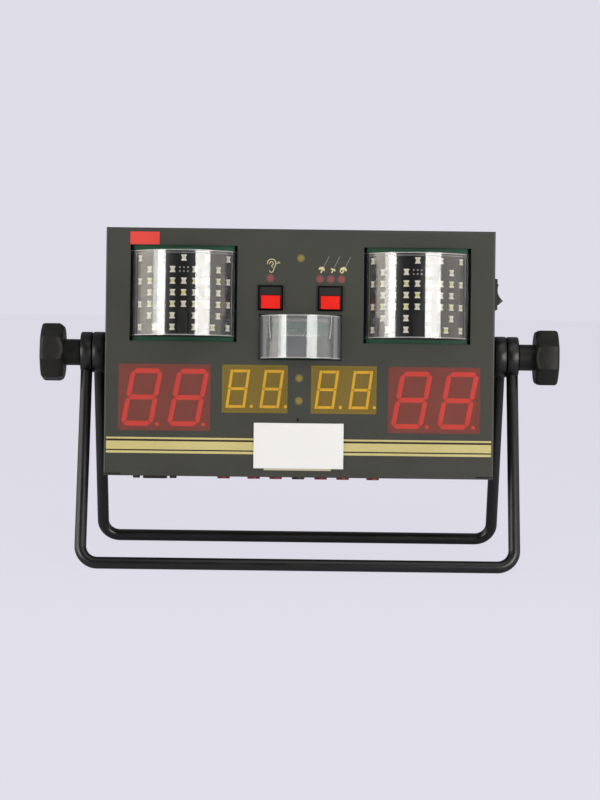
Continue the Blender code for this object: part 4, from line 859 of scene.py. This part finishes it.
def square_bars(size, stroke):
    """Seven square-ended bars: tall uprights with the level bars set between them."""
    half_w, half_h = size[0] / 2, size[1] / 2
    outlines = []
    level = half_w - stroke - SEGMENT_BREAK
    for z in (half_h - stroke / 2, 0.0, -half_h + stroke / 2):
        outlines.append([(u, v + z) for u, v in rectangle(2 * level, stroke)])
    tall = half_h - SEGMENT_BREAK
    for x in (-half_w + stroke / 2, half_w - stroke / 2):
        for z in (-half_h / 2, half_h / 2):
            middle = z + math.copysign(SEGMENT_BREAK / 2, z)
            outlines.append([(x + u, middle + v) for u, v in rectangle(stroke, tall)])
    return outlines


def digit_bars(bm, centre, bars, size, stroke, slant, dot_radius, dot_space=0.0):
    """One digit's bars, leaning to the right, and the dot beside its foot."""
    for outline in bars:
        leaning = [(u + v * math.tan(slant), v) for u, v in outline]
        extrude(bm, leaning, flat(centre), *LIT_BAR)
    low = dot_radius - size[1] / 2
    beside = size[0] / 2 + dot_radius + stroke / 2 + dot_space
    dot = (centre[0] + beside + low * math.tan(slant), centre[1] + low)
    extrude(bm, circle(dot_radius, 24), flat(dot), *LIT_BAR)


def window_set(name, centre, window, slot, rim_width):
    """A tinted film in a window of the panel, and the brighter rim where it is stuck down."""
    pane = bmesh.new()
    width, height = (length - 2 * SKIN for length in window)
    slab(pane, centre, (width, height), *PANE)
    piece(pane, f"{name}_window", slot)
    rim = bmesh.new()
    for side in (-1, 1):
        upright_at = (centre[0] + side * (width - rim_width) / 2, centre[1])
        slab(rim, upright_at, (rim_width, height), *RIM)
        level_at = (centre[0], centre[1] + side * (height - rim_width) / 2)
        slab(rim, level_at, (width - 2 * rim_width, rim_width), *RIM)
    piece(rim, f"{name}_window_rim", slot, look="display_rim")


def make_module(name, node, slot, face_at, face_size):
    """A display's body behind the sheet, and its face where it fills a window."""
    low, high = case_box(node)
    middle, size = front_view(low, high)
    bm = bmesh.new()
    slab(bm, middle, size, BEHIND_SHEET, high.y)
    slab(bm, face_at, face_size, DISPLAY_FACE, BEHIND_SHEET + GAP)
    piece(bm, f"{name}_module", slot, [node])


def make_score(side, label):
    at = (side * SCORE_AT[0], SCORE_AT[1])
    window_set(f"{label}_score", at, SCORE_WINDOW, "window_red", SCORE_RIM)
    bars = mitred_bars(SCORE_DIGIT, SCORE_STROKE)
    face_size = (SCORE_WINDOW[0] / 2 - SKIN, SCORE_WINDOW[1] - 2 * SKIN)
    for half, place in ((-0.5, "tens"), (0.5, "units")):
        name = f"{label}_score_{place}"
        face_at = (at[0] + half * SCORE_WINDOW[0] / 2, at[1])
        make_module(name, f"score_digit_{label}_{place}", "score_face", face_at, face_size)
        lit = bmesh.new()
        centre = (at[0] + half * SCORE_PITCH + SCORE_DIGIT_SHIFT, at[1])
        digit_bars(lit, centre, bars, SCORE_DIGIT, SCORE_STROKE, SCORE_SLANT, SCORE_DOT)
        piece(lit, f"{name}_bars", "score_face", look="lit_bar")


def make_clock(side, label):
    at = (side * CLOCK_AT[0], CLOCK_AT[1])
    window_set(f"clock_{label}", at, CLOCK_WINDOW, "window_amber", CLOCK_RIM)
    face_size = tuple(length - 2 * SKIN for length in CLOCK_WINDOW)
    make_module(f"clock_{label}", f"clock_digits_{label}", "clock_face", at, face_size)
    lit = bmesh.new()
    bars = square_bars(CLOCK_DIGIT, CLOCK_STROKE)
    for half in (-0.5, 0.5):
        centre = (at[0] + half * CLOCK_PITCH, at[1])
        digit_bars(
            lit, centre, bars, CLOCK_DIGIT, CLOCK_STROKE, CLOCK_SLANT, CLOCK_DOT, CLOCK_DOT_SPACE
        )
    piece(lit, f"clock_{label}_bars", "clock_face", look="lit_bar")


# Keys


def make_key_apron(label):
    """The grey plate above a key's paddle, with a cheek on each side that hides the axle."""
    body_low, body_high = case_box(f"{label}_key_body")
    paddle_low, paddle_high = case_box(f"{label}_key")
    paddle_top = paddle_high.z + GAP
    top = body_high.z - KEY_WALL
    middle = ((body_low.x + body_high.x) / 2, (paddle_top + top) / 2)
    size = (body_high.x - body_low.x - 2 * KEY_WALL, top - paddle_top)
    bm = bmesh.new()
    start = body_low.y + APRON_SINK
    slab(bm, middle, size, start, start + APRON)
    inner, outer = KEY_PADDLE_WIDTH / 2 + GAP, size[0] / 2
    cheek_size = (outer - inner, paddle_top - paddle_low.z)
    for side in (-1, 1):
        cheek = (middle[0] + side * (inner + outer) / 2, (paddle_low.z + paddle_top) / 2)
        slab(bm, cheek, cheek_size, body_low.y + GAP / 3, body_low.y + GAP)
    piece(bm, f"{label}_key_apron", "key_black", look="key_grey")


# Indicators and prints


def make_indicator(name, centres, slot):
    """Round spots of matt film over the lamps, each with its own disc coordinates."""
    bm = bmesh.new()
    for centre in centres:
        extrude(bm, circle(INDICATOR_RADIUS), flat(centre), *SPOT)
    layer = bm.loops.layers.uv.new("disc")
    for face in bm.faces:
        near = min(centres, key=lambda c: (face.calc_center_median().xz - Vector(c)).length)
        for loop in face.loops:
            loop[layer].uv = (loop.vert.co.xz - Vector(near)) / INDICATOR_RADIUS
    piece(bm, name, slot)


def make_indicators():
    make_indicator("sound_indicator", [SOUND_LED_AT], "indicator_red")
    weapons = [(WEAPON_LEDS_AT[0] + i * WEAPON_LED_PITCH, WEAPON_LEDS_AT[1]) for i in (-1, 0, 1)]
    make_indicator("weapon_indicators", weapons, "indicator_red")
    make_indicator("start_indicator", [START_LED_AT], "indicator_amber")
    colon = [(COLON_AT[0], COLON_AT[1] + i * COLON_PITCH) for i in (-0.5, 0.5)]
    make_indicator("clock_colon_spots", colon, "indicator_amber")


def make_gold_bands():
    """Gold bands from side to side, and the brown lines in the gaps between them."""
    (x, _), (width, _) = front_view(*case_box("front_film"))
    gaps = [(under[1], over[0]) for under, over in zip(GOLD_BANDS, GOLD_BANDS[1:])]
    for name, heights, look in (
        ("gold_bands", GOLD_BANDS, "gold_print"), ("gold_band_lines", gaps, "brown_line"),
    ):
        bm = bmesh.new()
        for bottom, top in heights:
            middle = (x, (bottom + top) / 2 * CASE_HEIGHT)
            slab(bm, middle, (width, (top - bottom) * CASE_HEIGHT), *PRINTED)
        piece(bm, name, "gold_print", look=look)


def in_mm(points, scale=1.0):
    return [(scale * x / 1000, scale * z / 1000) for x, z in points]


def make_ear_icon():
    """A plain ear with two sound marks beside it."""
    bm = bmesh.new()
    place = flat(EAR_AT)
    outer = (
        (-3.2, 1.0), (-2.9, 3.4), (-0.6, 4.8), (1.8, 4.2), (2.9, 1.9), (2.3, -0.4),
        (1.5, -2.2), (0.9, -4.2), (-0.7, -4.9), (-1.9, -3.6),
    )
    inner = ((-1.6, 1.2), (-1.0, 2.8), (0.5, 2.7), (1.1, 1.2), (-0.1, 0.1), (0.5, -1.4))
    for line in (outer, inner):
        ribbon(bm, smooth_line(in_mm(line, EAR_SCALE)), EAR_STROKE, place, *PRINTED)
    for mark in (((3.3, 1.5), (4.9, 2.1)), ((4.6, 3.3), (5.0, 2.0), (6.0, 2.4))):
        ribbon(bm, smooth_line(in_mm(mark, EAR_SCALE)), SOUND_MARK_STROKE, place, *PRINTED)
    piece(bm, "sound_icon", "gold_print", look="icon_print")


def make_weapon_icons():
    """Three plain weapons, each a blade, a guard and a grip. The last one has a bow."""
    bm = bmesh.new()
    blades = bmesh.new()
    guards = (
        ((-2.4, 0.2), (-2.0, 1.5), (-0.4, 2.3), (1.2, 1.8), (1.9, 0.4), (1.5, -0.9), (0.2, 0.4)),
        ((-1.8, 0.8), (-0.6, 1.3), (0.6, 1.0), (1.9, 0.2), (1.4, -0.9), (0.2, -0.2)),
        ((-2.3, -0.4), (-2.1, 1.3), (-0.5, 2.2), (1.2, 1.9), (2.2, 0.5), (1.7, -1.0), (0.3, 0.5)),
    )
    for i, guard in enumerate(guards):
        place = flat((WEAPON_HILTS_AT[0] + i * WEAPON_ICON_PITCH, WEAPON_HILTS_AT[1]))
        extrude(bm, in_mm(guard), place, *PRINTED)
        ribbon(blades, in_mm(((1.1, 2.0), (4.7, 9.2))), BLADE_STROKE, place, *PRINTED)
        ribbon(bm, in_mm(((0.2, 0.2), (-0.8, -1.9))), GRIP_STROKE, place, *PRINTED)
    bow = smooth_line(in_mm(((-1.9, 0.4), (-2.2, -0.9), (-1.3, -1.8), (-0.4, -1.7))))
    ribbon(bm, bow, BOW_STROKE, place, *PRINTED)
    piece(bm, "weapon_icons", "gold_print", look="icon_print")
    piece(blades, "weapon_icon_blades", "gold_print", look="blade_print")


def make_setting_hole():
    """A black disc on the film where the pin hole under the clock is: painted shade of the hole."""
    bm = bmesh.new()
    extrude(bm, circle(SETTING_HOLE_RADIUS), flat(SETTING_HOLE_AT), *PRINTED)
    piece(bm, "setting_hole_painted_shade", "front_print", look="key_black")


# Stand


def bail_rings(leg_x, foot):
    """Circles along the bent rod: down one leg, along the bar and up the other."""
    down = foot.normalized()
    side_way = Vector((1.0, 0.0, 0.0))
    normal = down.cross(side_way)
    length = foot.length
    path = [(-leg_x, ROD_TOP)]
    for side in (-1, 1):
        for i in range(BEND_STEPS + 1):
            turn = math.radians(90) * i / BEND_STEPS
            if side > 0:
                turn = math.radians(90) - turn
            across = leg_x - ROD_BEND + ROD_BEND * math.cos(turn)
            path.append((side * across, length - ROD_BEND + ROD_BEND * math.sin(turn)))
    path.append((leg_x, ROD_TOP))
    points = [side_way * x + down * d for x, d in path]
    rings = [[points[0]]]
    for i, point in enumerate(points):
        out = heading(points, i).cross(normal)
        rings.append([point + u * normal + v * out for u, v in circle(ROD_RADIUS, ROD_SIDES)])
    rings.append([points[-1]])
    return rings


def make_bail(node):
    """A bent rod and the eyes at the top of its legs, about the pivot axis."""
    low, high = local_box(node, STAND)
    bar_y = low.y + SOLID_ROD if node.startswith("front") else high.y - SOLID_ROD
    foot = Vector((0.0, bar_y, low.z + SOLID_ROD))
    eye_end = high.x
    eye_start = min(
        v.co.x for v in frame["nodes"][node].data.vertices
        if v.co.x > 0 and (v.co - PIVOT).yz.length < EYE_BORE
    )
    leg_x = (eye_start + eye_end) / 2
    bm = bmesh.new()
    turned(bm, bail_rings(leg_x, foot))
    body = frame["nodes"][node]["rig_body"]
    piece(bm, f"{node}_rod", "bail_paint", [node], body=body, place=STAND, smooth_under=40)
    eyes = bmesh.new()
    radius = high.z
    profile = (
        (eye_start, BORE), (eye_start, radius - EYE_EDGE),
        (eye_start + EYE_EDGE / 4, radius - EYE_EDGE / 2), (eye_start + EYE_EDGE, radius),
        (eye_end - EYE_EDGE, radius), (eye_end - EYE_EDGE / 4, radius - EYE_EDGE / 2),
        (eye_end, radius - EYE_EDGE), (eye_end, BORE),
    )
    for side in (-1, 1):
        turned(eyes, [x_ring(side * x, [r] * EYE_SIDES) for x, r in profile], closed=True)
    piece(eyes, f"{node}_eyes", "bail_paint", body=body, place=STAND, smooth_under=50)


def knob_radii(radius, share):
    """Radii around the knob: hollow flutes, at a share of their depth, meet in sharp ridges."""
    flute = KNOB_FLUTE * share
    return [
        radius - flute * abs(math.cos(KNOB_FLUTES * math.pi * i / KNOB_SIDES))
        for i in range(KNOB_SIDES)
    ]


def make_knob(side, label):
    node = f"knob_{label}"
    low, high = local_box(node, STAND)
    neck_start = min(abs(low.x), abs(high.x))
    end = max(abs(low.x), abs(high.x))
    start = neck_start + KNOB_NECK
    points = frame["nodes"][node].data.vertices
    radius = max((v.co - PIVOT).yz.length for v in points)
    bore_end = neck_start + KNOB_BORE
    rings = [[(side * bore_end, 0.0, 0.0)]]
    for x, r in (
        (bore_end, BORE), (neck_start, BORE), (neck_start, KNOB_NECK_RADIUS - KNOB_NECK_EDGE),
        (neck_start + KNOB_NECK_EDGE, KNOB_NECK_RADIUS), (start, KNOB_NECK_RADIUS),
    ):
        rings.append(x_ring(side * x, [r] * KNOB_SIDES))
    for rise, inset, share in KNOB_SHOULDER:
        rings.append(x_ring(side * (start + rise), knob_radii(radius - inset, share)))
    for setback, inset, share in KNOB_CROWN:
        rings.append(x_ring(side * (end - setback), knob_radii(radius - inset, share)))
    rings.append([(side * end, 0.0, 0.0)])
    bm = bmesh.new()
    turned(bm, rings)
    body = frame["nodes"][node]["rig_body"]
    place = STAND @ Matrix.Rotation(-KNOB_TURN[label], 4, "X")
    piece(bm, f"{label}_hand_knob", "knob_black", [node], body=body, place=place, smooth_under=40)


# CAD nodes that stay, with their slot and how far their edges are rounded

KEPT = (
    (("front_shell", "rear_cover"), "case_paint", 0.00015),
    (("front_film",), "front_print", 0.0),
    (("date_sticker",), "date_label", 0.0),
    (("old_nameplate",), "old_label", 0.0),
    (("blank_nameplate",), "blank_label", 0.0002),
    (("main_board",), "board_green", 0.0),
    (("sound_key_body", "weapon_key_body"), "key_black", 0.00015),
    (("sound_key", "weapon_key"), "key_red", 0.0004),
    (("power_switch_body", "power_rocker"), "power_black", 0.0003),
    ([f"{side}_socket_{hole}" for side in ("left", "right") for hole in "abc"],
     "socket_red", 0.0002),
    (("piste_socket",), "socket_black", 0.0002),
    (("data_connector",), "connector_metal", 0.0002),
    (("jackscrew_left", "jackscrew_right"), "screw_black", 0.0002),
    (("power_inlet",), "inlet_black", 0.0002),
    ([f"{kind}_{i}" for kind in ("pillar", "cover_screw") for i in range(1, 5)],
     "plated_steel", 0.0001),
    (("pivot_stud_left", "pivot_stud_right"), "plated_steel", 0.0001),
    (("buzzer",), "buzzer_black", 0.0002),
    (("friction_washer_left", "friction_washer_right"), "washer_nylon", 0.0001),
    (("sound_led", "start_led", "weapon_leds", "clock_colon"), "indicator_red", 0.0),
)


def dress_kept_nodes():
    for nodes, slot, width in KEPT:
        for node in nodes:
            made = frame["nodes"][node]
            made.data.materials.clear()
            made.data.materials.append(LOOKS[slot])
            if width:
                soften(made, width)


# Floor, light and camera

BACKDROP = (0.738, 0.723, 0.806)
GLOW = 1.08
GLOW_SHARE = 0.86
FLOOR_SIZE = 6.0
FLOOR_END = 1.6  # behind the machine
ROOM_DARK = grey(0.02)
ROOM_PALE = (0.23, 0.227, 0.234)
ROOM_TURN = (-0.8, -0.2)  # from dark to pale, as the y of a direction


def direct_view(tree):
    """One for rays from the camera and on through clear pieces, and zero for others."""
    path = wire(tree, "LightPath").outputs
    return combine(tree, "MAXIMUM", path["Is Camera Ray"], path["Is Transmission Ray"])


def backdrop_finish():
    """The camera sees mostly the plain backdrop colour, with a share of light and shadow."""
    made = bpy.data.materials.new("backdrop_paper")
    made.use_nodes = True
    tree, shader = insides(made)
    paper = (*BACKDROP, 1.0)
    plug(tree, shader, {"Base Color": paper, "Roughness": 0.9, "Specular IOR Level": 0.0})
    glow = wire(tree, "Emission", {"Color": paper, "Strength": GLOW})
    share = combine(tree, "MULTIPLY", direct_view(tree), GLOW_SHARE)
    show(tree, mix(tree, share, shader, glow))
    return made


def make_stage():
    bm = bmesh.new()
    half = FLOOR_SIZE / 2
    corners = [(-half, -half), (half, -half), (half, FLOOR_END), (-half, FLOOR_END)]
    bm.faces.new([bm.verts.new((x, y, 0.0)) for x, y in corners])
    mesh = bpy.data.meshes.new("floor")
    bm.to_mesh(mesh)
    bm.free()
    mesh.materials.append(backdrop_finish())
    add_object("floor", mesh)


def make_world():
    """A room that is dark in front and pale elsewhere; the camera sees the backdrop colour."""
    world = bpy.data.worlds.new("studio")
    bpy.context.scene.world = world
    world.use_nodes = True
    tree = world.node_tree
    way = wire(tree, "TexCoord").outputs["Generated"]
    parts = wire(tree, "SeparateXYZ", {"Vector": way})
    depth = spread(tree, parts.outputs["Y"], 0.0, 1.0, ROOM_TURN)
    room = ramp(tree, depth, (0.0, 1.0), ROOM_DARK, ROOM_PALE)
    colours = {"Color1": room, "Color2": (*BACKDROP, 1.0)}
    mixed = wire(tree, "MixRGB", {"Fac": direct_view(tree), **colours})
    plug(tree, tree.nodes["Background"], {"Color": mixed.outputs["Color"]})


def direction(azimuth, elevation):
    """A unit vector from the pivot. Azimuth 0 points to the camera's side, 90 to +x."""
    a, e = math.radians(azimuth), math.radians(elevation)
    return Vector((math.sin(a) * math.cos(e), -math.cos(a) * math.cos(e), math.sin(e)))


def make_light(name, azimuth, elevation, distance, size, power, colour=grey(1.0)):
    """An area light facing the pivot, with angles in degrees and power in watts."""
    lamp = bpy.data.lights.new(name, "AREA")
    lamp.shape = "RECTANGLE"
    lamp.size, lamp.size_y = size
    lamp.energy = power
    lamp.color = colour
    made = add_object(name, lamp)
    way = direction(azimuth, elevation)
    made.location = PIVOT + way * distance
    made.rotation_mode = "QUATERNION"
    made.rotation_quaternion = way.to_track_quat("Z", "Y")


def make_lights():
    """Two tall strips that the lenses mirror as white stripes, dim walls and an overhead box."""
    cream = (1.0, 0.985, 0.94)
    warm = (1.0, 0.94, 0.82)
    make_light("left_strip", -46.8, 9.0, 1.3, (0.33, 0.62), 4.2, cream)
    make_light("left_strip_edge", -58.2, 9.0, 1.3, (0.19, 0.62), 1.4, cream)
    make_light("right_strip", 34.0, 9.0, 1.3, (0.68, 0.62), 7.4, cream)
    make_light("left_wall", -87.0, 10.0, 1.6, (1.49, 1.00), 7.4, warm)
    make_light("right_wall", 81.5, 10.0, 1.6, (1.88, 1.00), 3.8, warm)
    make_light("overhead", 30.0, 58.0, 0.65, (0.65, 0.43), 0.8)


def make_camera():
    data = bpy.data.cameras.new("camera")
    data.sensor_width = SENSOR
    data.lens = FOCAL_PIXELS * SENSOR / max(PHOTO_SIZE)
    made = add_object("camera", data)
    made.location = PIVOT + direction(CAMERA_AZIMUTH, CAMERA_ELEVATION) * CAMERA_DISTANCE
    turn = Euler((math.radians(90 - CAMERA_PITCH), 0.0, math.radians(-CAMERA_YAW)))
    roll = Matrix.Rotation(math.radians(CAMERA_ROLL), 3, "Z")
    made.rotation_euler = (turn.to_matrix() @ roll).to_euler()
    bpy.context.scene.camera = made


make_lamp("left")
make_lamp("right")
make_receiver()
make_receiver_glints()
make_score(-1, "left")
make_score(1, "right")
make_clock(-1, "minutes")
make_clock(1, "seconds")
make_key_apron("sound")
make_key_apron("weapon")
make_indicators()
make_gold_bands()
make_ear_icon()
make_weapon_icons()
make_setting_hole()
make_bail("front_bail")
make_bail("rear_bail")
make_knob(-1, "left")
make_knob(1, "right")
dress_kept_nodes()
make_stage()
make_world()
make_lights()
make_camera()
bpy.context.scene.view_settings.view_transform = "Standard"
